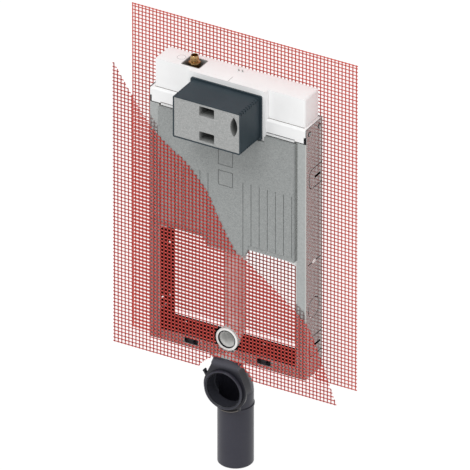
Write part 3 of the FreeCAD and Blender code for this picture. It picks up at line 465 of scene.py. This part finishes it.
def bore_shade():
    """The shade inside a level pipe, up to a depth behind its mouth."""
    group, start, end = new_group(
        "bore_shade",
        (("Colour", COLOUR, GREY), ("Shade Tone", COLOUR, GREY), ("Middle", VECTOR, (0.0, 0.0, 0.0)),
         ("Radius", NUMBER, 0.01), ("Back", NUMBER, 0.0)),
        (("Colour", COLOUR),))
    off = calculate_vector(group, "SUBTRACT", object_point(group), start.outputs["Middle"])
    flat = calculate_vector(group, "MULTIPLY", off["Vector"], ACROSS + UPWARDS)
    radius = calculate_vector(group, "LENGTH", flat["Vector"])["Value"]
    inside = calculate(group, "LESS_THAN", radius, start.outputs["Radius"])
    before = calculate(group, "LESS_THAN", coordinates(group)["Y"], start.outputs["Back"])
    share = calculate(group, "MULTIPLY", inside, before)
    colour = blend_colours(group, share, start.outputs["Colour"], start.outputs["Shade Tone"])
    return put_out(group, end, Colour=colour)


def profile_shade_and_highlight():
    """Sheet profiles: painted shade inside, and a painted highlight along each rolled edge in front."""
    group, start, end = new_group(
        "profile_shade_and_highlight",
        (("Colour", COLOUR, GREY), ("Shade Tone", COLOUR, GREY), ("Highlight Tone", COLOUR, GREY),
         ("Web", NUMBER, 0.2), ("Lip", NUMBER, 0.1), ("Line", NUMBER, 0.002),
         ("Front", NUMBER, 0.0), ("Back", NUMBER, 0.1)),
        (("Colour", COLOUR),))
    point = coordinates(group)
    side = calculate(group, "ABSOLUTE", point["X"])
    within = calculate(group, "LESS_THAN", side, start.outputs["Web"])
    behind = calculate(group, "GREATER_THAN", point["Y"], start.outputs["Front"])
    before = calculate(group, "LESS_THAN", point["Y"], start.outputs["Back"])
    inside = calculate(group, "MULTIPLY", calculate(group, "MULTIPLY", within, behind), before)
    lines = []
    for edge in ("Web", "Lip"):
        off = calculate(group, "ABSOLUTE", calculate(group, "SUBTRACT", side, start.outputs[edge]))
        lines.append(calculate(group, "LESS_THAN", off, start.outputs["Line"]))
    # Painted highlight along the rolled edges in front, and painted shade inside
    in_front = calculate(group, "SUBTRACT", 1.0, behind)
    bright = calculate(group, "MULTIPLY", calculate(group, "MAXIMUM", *lines), in_front)
    colour = blend_colours(group, bright, start.outputs["Colour"], start.outputs["Highlight Tone"])
    colour = blend_colours(group, inside, colour, start.outputs["Shade Tone"])
    return put_out(group, end, Colour=colour)


GRAIN = moulded_grain()
BEADS = foam_beads()
SPANGLE = zinc_spangle()
TWIST = yarn_twist()
RECESS = recess_shade()
BORE = bore_shade()
PROFILE = profile_shade_and_highlight()


# Materials

MATERIALS = {}


def shade(red, green, blue):
    """A colour as a screen shows it, from 0 to 255, as the linear values that shaders take."""
    parts = []
    for value in (red, green, blue):
        value = value / 255
        parts.append(value / 12.92 if value <= 0.04045 else ((value + 0.055) / 1.055) ** 2.4)
    return (*parts, 1.0)


def place_group(tree, group, values):
    """Puts a group in a material with its values, where a tone is a colour on a screen."""
    inputs = {label: shade(*value) if label.endswith("Tone") else value
              for label, value in values.items()}
    return add_node(tree, "ShaderNodeGroup", inputs, node_tree=group)


def finish(name, group, values, bump, roughness=None, relief=FINE_RELIEF, shades=(), **shader_values):
    """A material whose colour and relief come from groups. The rest is set on the shader itself,
    also its roughness, unless the group gives that."""
    material = bpy.data.materials.new(name)
    material.use_nodes = True
    tree = material.node_tree
    shader = tree.nodes["Principled BSDF"]
    effect = place_group(tree, group, values)
    colour = effect.outputs["Colour"]
    for shade_group, shade_values in shades:
        later = place_group(tree, shade_group, shade_values)
        tree.links.new(colour, later.inputs["Colour"])
        colour = later.outputs["Colour"]
    tree.links.new(colour, shader.inputs["Base Color"])
    heights = {"Strength": bump, "Distance": relief * MM, "Height": effect.outputs["Height"]}
    surface = add_node(tree, "ShaderNodeBump", heights)
    tree.links.new(surface.outputs["Normal"], shader.inputs["Normal"])
    if roughness is None:
        tree.links.new(effect.outputs["Roughness"], shader.inputs["Roughness"])
    else:
        shader.inputs["Roughness"].default_value = roughness
    for label, value in shader_values.items():
        shader.inputs[label.replace("_", " ")].default_value = value
    MATERIALS[name] = material


# Painted shade inside the sheet channels, and painted highlights along the rolled edges of the front
# flanges
finish("galvanised_steel", SPANGLE,
       {"Tone": (160, 163, 162), "Second Tone": (176, 179, 178), "Crystal Size": 4.0 * MM,
        "Least Roughness": 0.17},
       bump=0.01, Metallic=0.7,
       shades=((PROFILE, {"Shade Tone": (52, 50, 50), "Highlight Tone": (190, 190, 187),
                          "Web": (OUTER_WEB - 0.8) * MM, "Lip": (INNER_LIP + 1.0) * MM,
                          "Line": 1.2 * MM, "Front": spot(0.0, 2.5, 0.0).y,
                          "Back": spot(0.0, 81.0, 0.0).y}),))

finish("foam_panel", BEADS,
       {"Tone": (146, 149, 148), "Second Tone": (162, 165, 164), "Joint Tone": (105, 108, 108),
        "Bead Size": 2.6 * MM},
       bump=0.3, roughness=0.75, relief=FOAM_RELIEF, Specular_IOR_Level=0.3)

# Painted shade in the plug's recessed windows, darker the further behind the plug's front
finish("foam_plug", BEADS,
       {"Tone": (156, 158, 157), "Second Tone": (178, 179, 178), "Joint Tone": (118, 119, 119),
        "Bead Size": 2.4 * MM},
       bump=0.3, roughness=0.75, relief=FOAM_RELIEF, Specular_IOR_Level=0.3,
       shades=((RECESS, {"Shade Tone": (106, 108, 107), "Inwards": BACKWARDS,
                         "Start": spot(0.0, PLUG_FRONT + 1.0, 0.0).y, "Reach": 16.0 * MM}),))

finish("cistern_white", GRAIN,
       {"Tone": (245, 245, 245), "Second Tone": (249, 249, 249), "Grain Size": 0.9 * MM},
       bump=0.06, roughness=0.6, Specular_IOR_Level=0.2)

finish("shaft_plastic", GRAIN,
       {"Tone": (42, 54, 61), "Second Tone": (48, 60, 67), "Grain Size": 0.6 * MM},
       bump=0.15, roughness=0.5, Specular_IOR_Level=0.22)

# Painted shade in the valve pocket, darker further below the cover's top
finish("liner_plastic", GRAIN,
       {"Tone": (150, 154, 152), "Second Tone": (176, 178, 176), "Grain Size": 1.0 * MM},
       bump=0.05, roughness=0.35,
       shades=((RECESS, {"Shade Tone": (109, 102, 98), "Inwards": -UPWARDS,
                         "Start": -spot(0.0, 0.0, COVER_TOP - 3.0).z, "Reach": 16.0 * MM}),))

finish("brass", GRAIN,
       {"Tone": (172, 140, 96), "Second Tone": (206, 176, 128), "Grain Size": 1.2 * MM},
       bump=0.08, roughness=0.26, Metallic=1.0)

finish("bracket_plastic", GRAIN,
       {"Tone": (238, 238, 237), "Second Tone": (244, 244, 243), "Grain Size": 0.9 * MM},
       bump=0.08, roughness=0.45)

finish("flush_plastic", GRAIN,
       {"Tone": (232, 232, 230), "Second Tone": (240, 240, 238), "Grain Size": 1.5 * MM},
       bump=0.03, roughness=0.3)

finish("seal_rubber", GRAIN,
       {"Tone": (20, 21, 24), "Second Tone": (28, 29, 32), "Grain Size": 0.7 * MM},
       bump=0.2, roughness=0.7, Specular_IOR_Level=0.2)

# Painted shade inside the drain's mouth
finish("drain_plastic", GRAIN,
       {"Tone": (50, 50, 60), "Second Tone": (54, 54, 64), "Grain Size": 1.0 * MM},
       bump=0.06, roughness=0.35, Specular_IOR_Level=0.3,
       shades=((BORE, {"Shade Tone": (54, 55, 62), "Middle": spot(0.0, 0.0, DRAIN_HEIGHT),
                       "Radius": 48.8 * MM, "Back": spot(0.0, 20.0, 0.0).y}),))

# Painted shade: the clamp is darker below the top of its head, which keeps the lighter, lit tone
finish("clamp_plastic", GRAIN,
       {"Tone": (60, 60, 69), "Second Tone": (66, 66, 75), "Grain Size": 0.7 * MM},
       bump=0.12, roughness=0.4, Specular_IOR_Level=0.35,
       shades=((RECESS, {"Shade Tone": (36, 36, 43), "Inwards": -UPWARDS,
                         "Start": -spot(0.0, 0.0, CLAMP_TOP - 12.0).z, "Reach": 10.0 * MM}),))

finish("insert_plastic", GRAIN,
       {"Tone": (26, 27, 33), "Second Tone": (36, 37, 43), "Grain Size": 0.7 * MM},
       bump=0.12, roughness=0.5, Specular_IOR_Level=0.3)

# The net gets painted shade where its yarns cross, together with their darker core, and painted light
# on the rear net
finish("mesh_red", TWIST,
       {"Tone": (190, 66, 60), "Second Tone": (218, 102, 94), "Pair Tone": (184, 62, 54),
        "Knot Core And Shade Tone": (118, 34, 30), "Rear Light Tone": (255, 128, 112), "Fibre Size": 0.5 * MM,
        "Pitch": NET_PITCH * MM, "Knot Size": KNOT_SIZE * MM, "Pair Width": PAIR_WIDTH * MM,
        "Middle": spot(0.0, MIDDLE_DEPTH, 0.0).y,
        "Front Column": FRONT_NET_COLUMN * MM, "Front Row": spot(0.0, 0.0, FRONT_NET_ROW).z,
        "Rear Column": REAR_NET_COLUMN * MM, "Rear Row": spot(0.0, 0.0, REAR_NET_ROW).z},
       bump=0.25, roughness=0.6, Specular_IOR_Level=0.2)


def dress_nodes():
    """Every node of the model gets the material of its slot."""
    for row in frame["record"]["subparts"]:
        node = frame["nodes"][row["node"]]
        node.data.materials.clear()
        node.data.materials.append(MATERIALS[row["material_slot"]])


# Pieces

def piece(shape, name, slot, sharp=SHARP_ANGLE):
    """Turns a finished shape into an object of its own, which moves with the whole frame."""
    mesh = bpy.data.meshes.new(name)
    shape.to_mesh(mesh)
    shape.free()
    mesh.shade_smooth()
    mesh.set_sharp_from_angle(angle=math.radians(sharp))
    mesh.materials.append(MATERIALS[slot])
    made = bpy.data.objects.new(name, mesh)
    bpy.context.scene.collection.objects.link(made)
    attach(made, "root")
    return made


def turned(profile, centre, axis, across, steps=ROUND_STEPS):
    """A closed profile of radius and length pairs, spun round an axis that it may touch."""
    shape = bmesh.new()
    points = [shape.verts.new(centre + across * (radius * MM) + axis * (length * MM))
              for radius, length in profile]
    edges = [shape.edges.new((points[place - 1], points[place])) for place in range(len(points))]
    bmesh.ops.spin(shape, geom=points + edges, cent=centre, axis=axis, angle=2 * math.pi,
                   steps=steps, use_merge=True)
    bmesh.ops.remove_doubles(shape, verts=shape.verts, dist=WELD_DISTANCE * MM)
    bmesh.ops.recalc_face_normals(shape, faces=shape.faces)
    return shape


def round_off(shape, offset):
    """Rounds off every edge of a shape."""
    bmesh.ops.bevel(shape, geom=shape.edges[:], offset=offset * MM, segments=BEVEL_SEGMENTS,
                    profile=0.5, affect="EDGES", material=-1)


def block(low, high):
    """A block between two corners."""
    shape = bmesh.new()
    placed = Matrix.Translation((low + high) / 2) @ Matrix.Diagonal((*(high - low), 1.0))
    bmesh.ops.create_cube(shape, size=1.0, matrix=placed)
    return shape


def add_part(shape, part):
    """Adds a small shape to a large one."""
    mesh = bpy.data.meshes.new("part")
    part.to_mesh(mesh)
    part.free()
    shape.from_mesh(mesh)
    bpy.data.meshes.remove(mesh)


# Nets

def smooth_line(points, steps):
    """A curve through the points, cut into short straight steps."""
    line = []
    for place in range(len(points) - 1):
        before = Vector(points[max(place - 1, 0)])
        first = Vector(points[place])
        second = Vector(points[place + 1])
        after = Vector(points[min(place + 2, len(points) - 1)])
        for step in range(steps):
            t = step / steps
            line.append(0.5 * (2 * first + (second - before) * t
                               + (2 * before - 5 * first + 4 * second - after) * t ** 2
                               + (3 * first - before - 3 * second + after) * t ** 3))
    line.append(Vector(points[-1]))
    return line


def read_line(line, value, known, wanted):
    """The other coordinate of a line where one of its coordinates has a value."""
    for first, second in zip(line, line[1:]):
        if min(first[known], second[known]) <= value <= max(first[known], second[known]):
            share = (value - first[known]) / (second[known] - first[known])
            return first[wanted] + share * (second[wanted] - first[wanted])
    return None


def circle_gap(centre_along, centre_across, radius, across):
    """The stretch of a strand that a round opening takes away."""
    off = abs(across - centre_across)
    if off >= radius:
        return []
    half = math.sqrt(radius ** 2 - off ** 2)
    return [(centre_along - half, centre_along + half)]


def block_gap(along, across_range, across):
    """The stretch of a strand that a square opening takes away."""
    low, high = across_range
    return [along] if low < across < high else []


def stretches(low, high, gaps):
    """What is left of a strand between its gaps."""
    left = []
    for gap_low, gap_high in sorted(gaps):
        if gap_low > low:
            left.append((low, min(gap_low, high)))
        low = max(low, gap_high)
    if low < high:
        left.append((low, high))
    return [(start, end) for start, end in left if end - start > SHORTEST_STRETCH]


def twisted_pair(depth, low, high):
    """Two yarns of the net's whole height that wind round each other, half a turn in each cell."""
    shape = bmesh.new()
    count = round((high - low) / NET_PITCH * YARN_STEPS_PER_CELL)
    rise = (high - low) / count
    angle = math.pi * rise / NET_PITCH
    # Where a weft crosses, one yarn is before it and the other is behind it
    begin = math.pi * (NET_LOOSE_END / NET_PITCH + 0.5)
    axis_point = spot(0.0, depth, low)
    for half_turn in (0.0, math.pi):
        place = Matrix.Translation(axis_point) @ Matrix.Rotation(half_turn - begin, 4, "Z")
        place = place @ Matrix.Translation((YARN_OFFSET * MM, 0.0, 0.0))
        start = bmesh.ops.create_circle(shape, cap_ends=True, segments=YARN_SIDES,
                                        radius=YARN_RADIUS * MM, matrix=place)["verts"]
        faces = list(start[0].link_faces)
        edges = list(faces[0].edges)
        bmesh.ops.spin(shape, geom=start + edges + faces, cent=axis_point, axis=UPWARDS,
                       dvec=UPWARDS * (rise * MM), angle=angle * count, steps=count)
    bmesh.ops.scale(shape, vec=(YARN_SPREAD, 1.0, 1.0), verts=shape.verts)
    bmesh.ops.recalc_face_normals(shape, faces=shape.faces)
    mesh = bpy.data.meshes.new("pair")
    shape.to_mesh(mesh)
    shape.free()
    return mesh


def keep_stretches(strand, kept):
    """Cuts an upright strand so that only the kept stretches of its height are left."""
    for height in {height for stretch in kept for height in stretch}:
        geometry = strand.verts[:] + strand.edges[:] + strand.faces[:]
        bmesh.ops.bisect_plane(strand, geom=geometry, dist=CUT_TOLERANCE * MM,
                               plane_co=spot(0.0, 0.0, height), plane_no=UPWARDS)
    heights = [(spot(0.0, 0.0, low).z, spot(0.0, 0.0, high).z) for low, high in kept]
    lost = [face for face in strand.faces
            if not any(low < face.calc_center_median().z < high for low, high in heights)]
    bmesh.ops.delete(strand, geom=lost, context="FACES")
    bmesh.ops.holes_fill(strand, edges=[edge for edge in strand.edges if edge.is_boundary])


def weft(depth, height, left, right):
    """A flat yarn between the twisted pairs."""
    bar = bmesh.new()
    place = (Matrix.Translation(spot(left, depth, height)) @ Matrix.Rotation(math.pi / 2, 4, "Y")
             @ Matrix.Diagonal((WEFT_WIDTH / 2 * MM, WEFT_THICKNESS / 2 * MM, 1.0, 1.0)))
    start = bmesh.ops.create_circle(bar, cap_ends=True, segments=WEFT_SIDES, radius=1.0,
                                    matrix=place)["verts"]
    moved = bmesh.ops.extrude_face_region(bar, geom=list(start[0].link_faces))["geom"]
    far_end = [item for item in moved if isinstance(item, bmesh.types.BMVert)]
    bmesh.ops.translate(bar, verts=far_end, vec=ACROSS * ((right - left) * MM))
    bmesh.ops.recalc_face_normals(bar, faces=bar.faces)
    return bar


def strand_places(low, high, origin):
    """The net's lines between two edges; one that lies a little outside is drawn in to the edge."""
    first = math.ceil((low - NET_EDGE_SHIFT - origin) / NET_PITCH)
    last = math.floor((high + NET_EDGE_SHIFT - origin) / NET_PITCH)
    return [min(max(origin + line * NET_PITCH, low), high) for line in range(first, last + 1)]


def net(name, node, columns, rows, column_stretches, row_stretches):
    """A woven net of twisted pairs up and flat yarns across, which stands for the CAD's strands."""
    low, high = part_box(node)
    depth = ((low.y + high.y) / 2 - FRONT) / MM
    bottom = rows[0] - NET_LOOSE_END
    top = rows[-1] + NET_LOOSE_END
    whole = twisted_pair(depth, bottom, top)
    shape = bmesh.new()
    for x in columns:
        kept = column_stretches(x)
        if kept:
            strand = bmesh.new()
            strand.from_mesh(whole)
            if kept != [(bottom, top)]:
                keep_stretches(strand, kept)
            bmesh.ops.translate(strand, vec=ACROSS * (x * MM), verts=strand.verts)
            add_part(shape, strand)
    bpy.data.meshes.remove(whole)
    for height in rows:
        for start, end in row_stretches(height):
            add_part(shape, weft(depth, height, start, end))
    made = piece(shape, name, "mesh_red", sharp=NET_SHARP_ANGLE)
    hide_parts(node)


def rear_net():
    """The whole net behind the frame, with a gap at its foot where the wall bracket stands."""
    low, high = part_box("mesh_rear")
    columns = strand_places(-NET_HALF_WIDTH, NET_HALF_WIDTH, REAR_NET_COLUMN)
    rows = strand_places((low.z - FOOT) / MM + NET_LOOSE_END, (high.z - FOOT) / MM - NET_LOOSE_END,
                         REAR_NET_ROW)
    wall_across = (-WALL_GAP_REACH, WALL_GAP_REACH)
    wall_up = (rows[0] - NET_PITCH, WALL_GAP_TOP)

    def column_stretches(x):
        gaps = block_gap(wall_up, wall_across, x)
        return stretches(rows[0] - NET_LOOSE_END, rows[-1] + NET_LOOSE_END, gaps)

    def row_stretches(height):
        gaps = block_gap(wall_across, wall_up, height)
        return stretches(-NET_HALF_WIDTH - NET_LOOSE_END, NET_HALF_WIDTH + NET_LOOSE_END, gaps)

    net("rear_plaster_net", "mesh_rear", columns, rows, column_stretches, row_stretches)


def front_net():
    """The net before the frame, trimmed along a wave and cut out round the fittings."""
    low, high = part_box("mesh_front")
    columns = strand_places(-NET_HALF_WIDTH, NET_HALF_WIDTH, FRONT_NET_COLUMN)
    rows = strand_places((low.z - FOOT) / MM + NET_LOOSE_END, (high.z - FOOT) / MM, FRONT_NET_ROW)
    line = smooth_line(CUT_LINE, CUT_LINE_STEPS)
    slot_up = (SLOT_UP - SLOT_HEIGHT / 2, SLOT_UP + SLOT_HEIGHT / 2)
    slots_across = [(middle - SLOT_LENGTH / 2, middle + SLOT_LENGTH / 2) for middle in SLOT_MIDDLES]

    def column_stretches(x):
        gaps = circle_gap(DRAIN_HEIGHT, 0.0, DRAIN_OPENING, x)
        gaps += circle_gap(SLEEVE_GAP_HEIGHT, SLEEVE_GAP_SIDEWAYS, SLEEVE_OPENING, x)
        for slot_across in slots_across:
            gaps += block_gap(slot_up, slot_across, x)
        return stretches(rows[0] - NET_LOOSE_END, read_line(line, x, 0, 1), gaps)

    def row_stretches(height):
        gaps = circle_gap(0.0, DRAIN_HEIGHT, DRAIN_OPENING, height)
        gaps += circle_gap(SLEEVE_GAP_SIDEWAYS, SLEEVE_GAP_HEIGHT, SLEEVE_OPENING, height)
        for slot_across in slots_across:
            gaps += block_gap(slot_across, slot_up, height)
        cut = read_line(line, height, 1, 0)
        return stretches(-NET_HALF_WIDTH - NET_LOOSE_END, min(cut, NET_HALF_WIDTH), gaps)

    net("front_plaster_net", "mesh_front", columns, rows, column_stretches, row_stretches)


# Fittings

def screw_thread(centre, tall):
    """The ridge of the inlet's thread, a three-sided wire wound round the shaft."""
    ridge = bmesh.new()
    turns = math.floor((tall - THREAD_STOP - THREAD_START) / THREAD_PITCH)
    begin = centre + ACROSS * (THREAD_MIDDLE * MM) + UPWARDS * (THREAD_START * MM)
    place = (Matrix.Translation(begin) @ Matrix.Rotation(math.pi / 2, 4, "X")
             @ Matrix.Rotation(-math.pi / 2, 4, "Z"))
    corner = bmesh.ops.create_circle(ridge, cap_ends=True, segments=3, radius=THREAD_DEPTH * MM,
                                     matrix=place)["verts"][0]
    geometry = ridge.verts[:] + ridge.edges[:] + list(corner.link_faces)
    bmesh.ops.spin(ridge, geom=geometry, cent=centre, axis=UPWARDS, angle=2 * math.pi * turns,
                   dvec=UPWARDS * (THREAD_PITCH * MM / ROUND_STEPS), steps=turns * ROUND_STEPS)
    bmesh.ops.recalc_face_normals(ridge, faces=ridge.faces)
    return ridge


def hexagon_nut(centre, radius):
    """The rounded hexagon round the inlet's foot."""
    nut = bmesh.new()
    middle = centre + UPWARDS * ((HEX_FOOT + HEX_TOP) / 2 * MM)
    bmesh.ops.create_cone(nut, cap_ends=True, segments=6, radius1=radius, radius2=radius,
                          depth=(HEX_TOP - HEX_FOOT) * MM, matrix=Matrix.Translation(middle))
    round_off(nut, HEX_ROUNDING)
    return nut


def brass_inlet():
    """The threaded inlet over its hexagon: a bored body, a screw thread and a rounded nut."""
    low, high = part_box("inlet_fitting")
    centre = Vector(((low.x + high.x) / 2, (low.y + high.y) / 2, low.z))
    tall = (high.z - low.z) / MM
    foot = ((INLET_BORE, 0.0), (INLET_FOOT, 0.0), (INLET_FOOT, HEX_FOOT), (SHOULDER, HEX_TOP),
            (SHOULDER, HEX_TOP + SHOULDER_RISE))
    shaft = ((THREAD_ROOT, HEX_TOP + 2 * SHOULDER_RISE), (THREAD_ROOT, tall - INLET_NECK),
             (INLET_RIM, tall - INLET_NECK + INLET_CHAMFER))
    rim = ((INLET_RIM, tall - INLET_CHAMFER), (INLET_RIM - INLET_CHAMFER, tall),
           (INLET_BORE + INLET_CHAMFER, tall), (INLET_BORE, tall - BORE_CHAMFER))
    shape = turned(foot + shaft + rim, centre, UPWARDS, ACROSS)
    add_part(shape, screw_thread(centre, tall))
    add_part(shape, hexagon_nut(centre, (high.x - low.x) / 2 / math.cos(math.pi / 6)))
    made = piece(shape, "threaded_inlet", "brass")
    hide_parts("inlet_fitting")


def web_screws():
    """Two screws with dark washers on each upright's web, high up."""
    for place, side in (("left", -1.0), ("right", 1.0)):
        for number, depth in enumerate(SCREW_DEPTHS):
            centre = spot(side * OUTER_WEB, depth, SCREW_HEIGHT)
            washer = turned(WASHER_PROFILE, centre, side * ACROSS, BACKWARDS)
            piece(washer, f"washer_{place}_{number}", "insert_plastic")
            head = turned(HEAD_PROFILE, centre, side * ACROSS, BACKWARDS)
            piece(head, f"screw_head_{place}_{number}", "galvanised_steel")


def strip(name, slot, across, depths, heights):
    """A fine straight line on the cistern."""
    corners = [spot(*corner) for corner in zip(across, depths, heights)]
    piece(block(*corners), name, slot)


def cover_details():
    """Small things on the cistern's top: the seam, the ring of a plugged hole and two posts."""
    heights = [COVER_TOP + height for height in SEAM_HEIGHTS]
    strip("cover_seam", "liner_plastic", SEAM_ACROSS, SEAM_DEPTHS, heights)
    ring = turned(HOLE_PROFILE, spot(*HOLE_PLACE, COVER_TOP), UPWARDS, ACROSS)
    piece(ring, "plugged_hole_ring", "liner_plastic")
    for number, x in enumerate(POST_PLACES):
        low = spot(x, POST_DEPTH, COVER_TOP - POST_SUNK)
        post = block(low, low + Vector(POST_SIZE) * MM)
        round_off(post, POST_ROUNDING)
        piece(post, f"cover_post_{number}", "liner_plastic")


def band_shade_lines():
    """Painted shade as dark strips: in the joint between the cover and the band, in the slit low on the
    band and in the gap under it.
    """
    for side, slot, outwards in (("left", "liner_plastic", -1.0), ("right", "insert_plastic", 1.0)):
        joint = sorted((outwards * LINE_START, outwards * JOINT_END))
        slit = sorted((outwards * LINE_START, outwards * SLIT_END))
        strip(f"cover_joint_shade_{side}", "liner_plastic", joint, JOINT_DEPTHS, JOINT_HEIGHTS)
        strip(f"band_slit_shade_{side}", slot, slit, SLIT_DEPTHS, SLIT_HEIGHTS)
        strip(f"band_foot_shadow_{side}", slot, joint, BAND_FOOT_DEPTHS, BAND_FOOT_HEIGHTS)


def drain_mouth():
    """The socket at the front of the drain: two fine rings round the mouth and a neck behind."""
    low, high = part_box("drain_socket")
    centre = Vector((0.0, low.y, (low.z + high.z) / 2))
    radius = (high.x - low.x) / 2 / MM
    back = (high.y - low.y) / MM
    rim = ((radius, RIM_START), (radius, RIM_END - RIM_CHAMFER), (radius - RIM_CHAMFER, RIM_END))
    neck = ((NECK_RADIUS, RIM_END), (NECK_RADIUS, back))
    bore = ((MOUTH_BORE, back), (MOUTH_BORE, THROAT_END))
    profile = MOUTH_LIP + rim + neck + bore + MOUTH_THROAT
    shape = turned(profile, centre, BACKWARDS, ACROSS, MOUTH_STEPS)
    made = piece(shape, "drain_mouth_ring", "drain_plastic")
    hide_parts("drain_socket")


def clamp_arc(name, slot, radius, section, ends):
    """An arc on the clamp's face round the drain, with an oval section."""
    centre = spot(0.0, CLAMP_FACE, DRAIN_HEIGHT)
    start, end = (math.radians(angle) for angle in ends)
    wide, deep = section
    shape = bmesh.new()
    place = (Matrix.Translation(centre - UPWARDS * (radius * MM))
             @ Matrix.Rotation(math.pi / 2, 4, "Y") @ Matrix.Diagonal((wide * MM, deep * MM, 1.0, 1.0)))
    bmesh.ops.create_circle(shape, cap_ends=True, segments=ARC_SIDES, radius=1.0, matrix=place)
    bmesh.ops.rotate(shape, cent=centre, matrix=Matrix.Rotation(start, 3, "Y"), verts=shape.verts)
    geometry = shape.verts[:] + shape.edges[:] + shape.faces[:]
    bmesh.ops.spin(shape, geom=geometry, cent=centre, axis=BACKWARDS, angle=end - start,
                   steps=ARC_STEPS)
    bmesh.ops.recalc_face_normals(shape, faces=shape.faces)
    piece(shape, name, slot)


def clamp_lip_highlight():
    """A painted highlight as a lighter bead along the clamp's lip under the mouth, and painted shade as
    a dark arc in the slot above it.
    """
    clamp_arc("clamp_lip_highlight", "liner_plastic", LIP_RADIUS, LIP_SECTION, LIP_ENDS)
    clamp_arc("clamp_slot_shade", "seal_rubber", GROOVE_RADIUS, GROOVE_SECTION, GROOVE_ENDS)


# Camera, light and floor

def seen_rays(tree):
    """One where the camera looks, straight or by gloss or glass, and nothing elsewhere."""
    rays = add_node(tree, "ShaderNodeLightPath").outputs
    seen = calculate(tree, "MAXIMUM", rays["Is Camera Ray"], rays["Is Glossy Ray"])
    return calculate(tree, "MAXIMUM", seen, rays["Is Transmission Ray"])


def stand_camera():
    """The camera stands far off with a very long lens, which keeps its lines almost parallel."""
    camera = bpy.data.objects.new("camera", bpy.data.cameras.new("camera"))
    bpy.context.scene.collection.objects.link(camera)
    azimuth = math.radians(VIEW_AZIMUTH)
    elevation = math.radians(VIEW_ELEVATION)
    towards = Vector((math.sin(azimuth) * math.cos(elevation),
                      -math.cos(azimuth) * math.cos(elevation), math.sin(elevation)))
    camera.location = Vector(VIEW_AIM) + towards * VIEW_DISTANCE
    camera.rotation_euler = (-towards).to_track_quat("-Z", "Y").to_euler()
    camera.data.lens = VIEW_LENS
    camera.data.sensor_width = VIEW_SENSOR
    camera.data.clip_end = 2 * VIEW_DISTANCE
    bpy.context.scene.camera = camera


def light_scene():
    """A plain sky, which the camera sees as white, and a soft sun from above and in front."""
    world = bpy.data.worlds.new("studio")
    bpy.context.scene.world = world
    world.use_nodes = True
    tree = world.node_tree
    back = tree.nodes["Background"]
    back.inputs["Color"].default_value = WHITE
    lift = calculate(tree, "MULTIPLY", seen_rays(tree), 1.0 - SKY_STRENGTH)
    tree.links.new(calculate(tree, "ADD", lift, SKY_STRENGTH), back.inputs["Strength"])
    sun = bpy.data.objects.new("sun", bpy.data.lights.new("sun", "SUN"))
    bpy.context.scene.collection.objects.link(sun)
    sun.data.energy = SUN_STRENGTH
    sun.data.angle = math.radians(SUN_SPREAD)
    sun.rotation_euler = Vector(SUN_DIRECTION).to_track_quat("-Z", "Y").to_euler()


def lay_floor():
    """A plain pale floor under the pipe, which keeps a faint shadow."""
    shape = bmesh.new()
    place = Matrix.Translation((0.0, 0.0, cad_box[0][2] - MM))
    bmesh.ops.create_grid(shape, x_segments=1, y_segments=1, size=FLOOR_SIDE / 2, matrix=place)
    mesh = bpy.data.meshes.new("floor")
    shape.to_mesh(mesh)
    shape.free()
    floor = bpy.data.objects.new("floor", mesh)
    bpy.context.scene.collection.objects.link(floor)
    material = bpy.data.materials.new("floor")
    material.use_nodes = True
    tree = material.node_tree
    tree.nodes.remove(tree.nodes["Principled BSDF"])
    matt = add_node(tree, "ShaderNodeBsdfDiffuse", {"Color": FLOOR_TONE})
    glow = add_node(tree, "ShaderNodeEmission", {"Strength": FLOOR_BRIGHTNESS})
    share = calculate(tree, "MULTIPLY", seen_rays(tree), FLOOR_GLOW)
    mix = add_node(tree, "ShaderNodeMixShader", {0: share, 1: matt.outputs[0], 2: glow.outputs[0]})
    tree.links.new(mix.outputs[0], tree.nodes["Material Output"].inputs["Surface"])
    mesh.materials.append(material)


bpy.context.scene.view_settings.view_transform = "Standard"
stand_camera()
light_scene()
lay_floor()
dress_nodes()
rear_net()
front_net()
brass_inlet()
web_screws()
cover_details()
band_shade_lines()
drain_mouth()
clamp_lip_highlight()
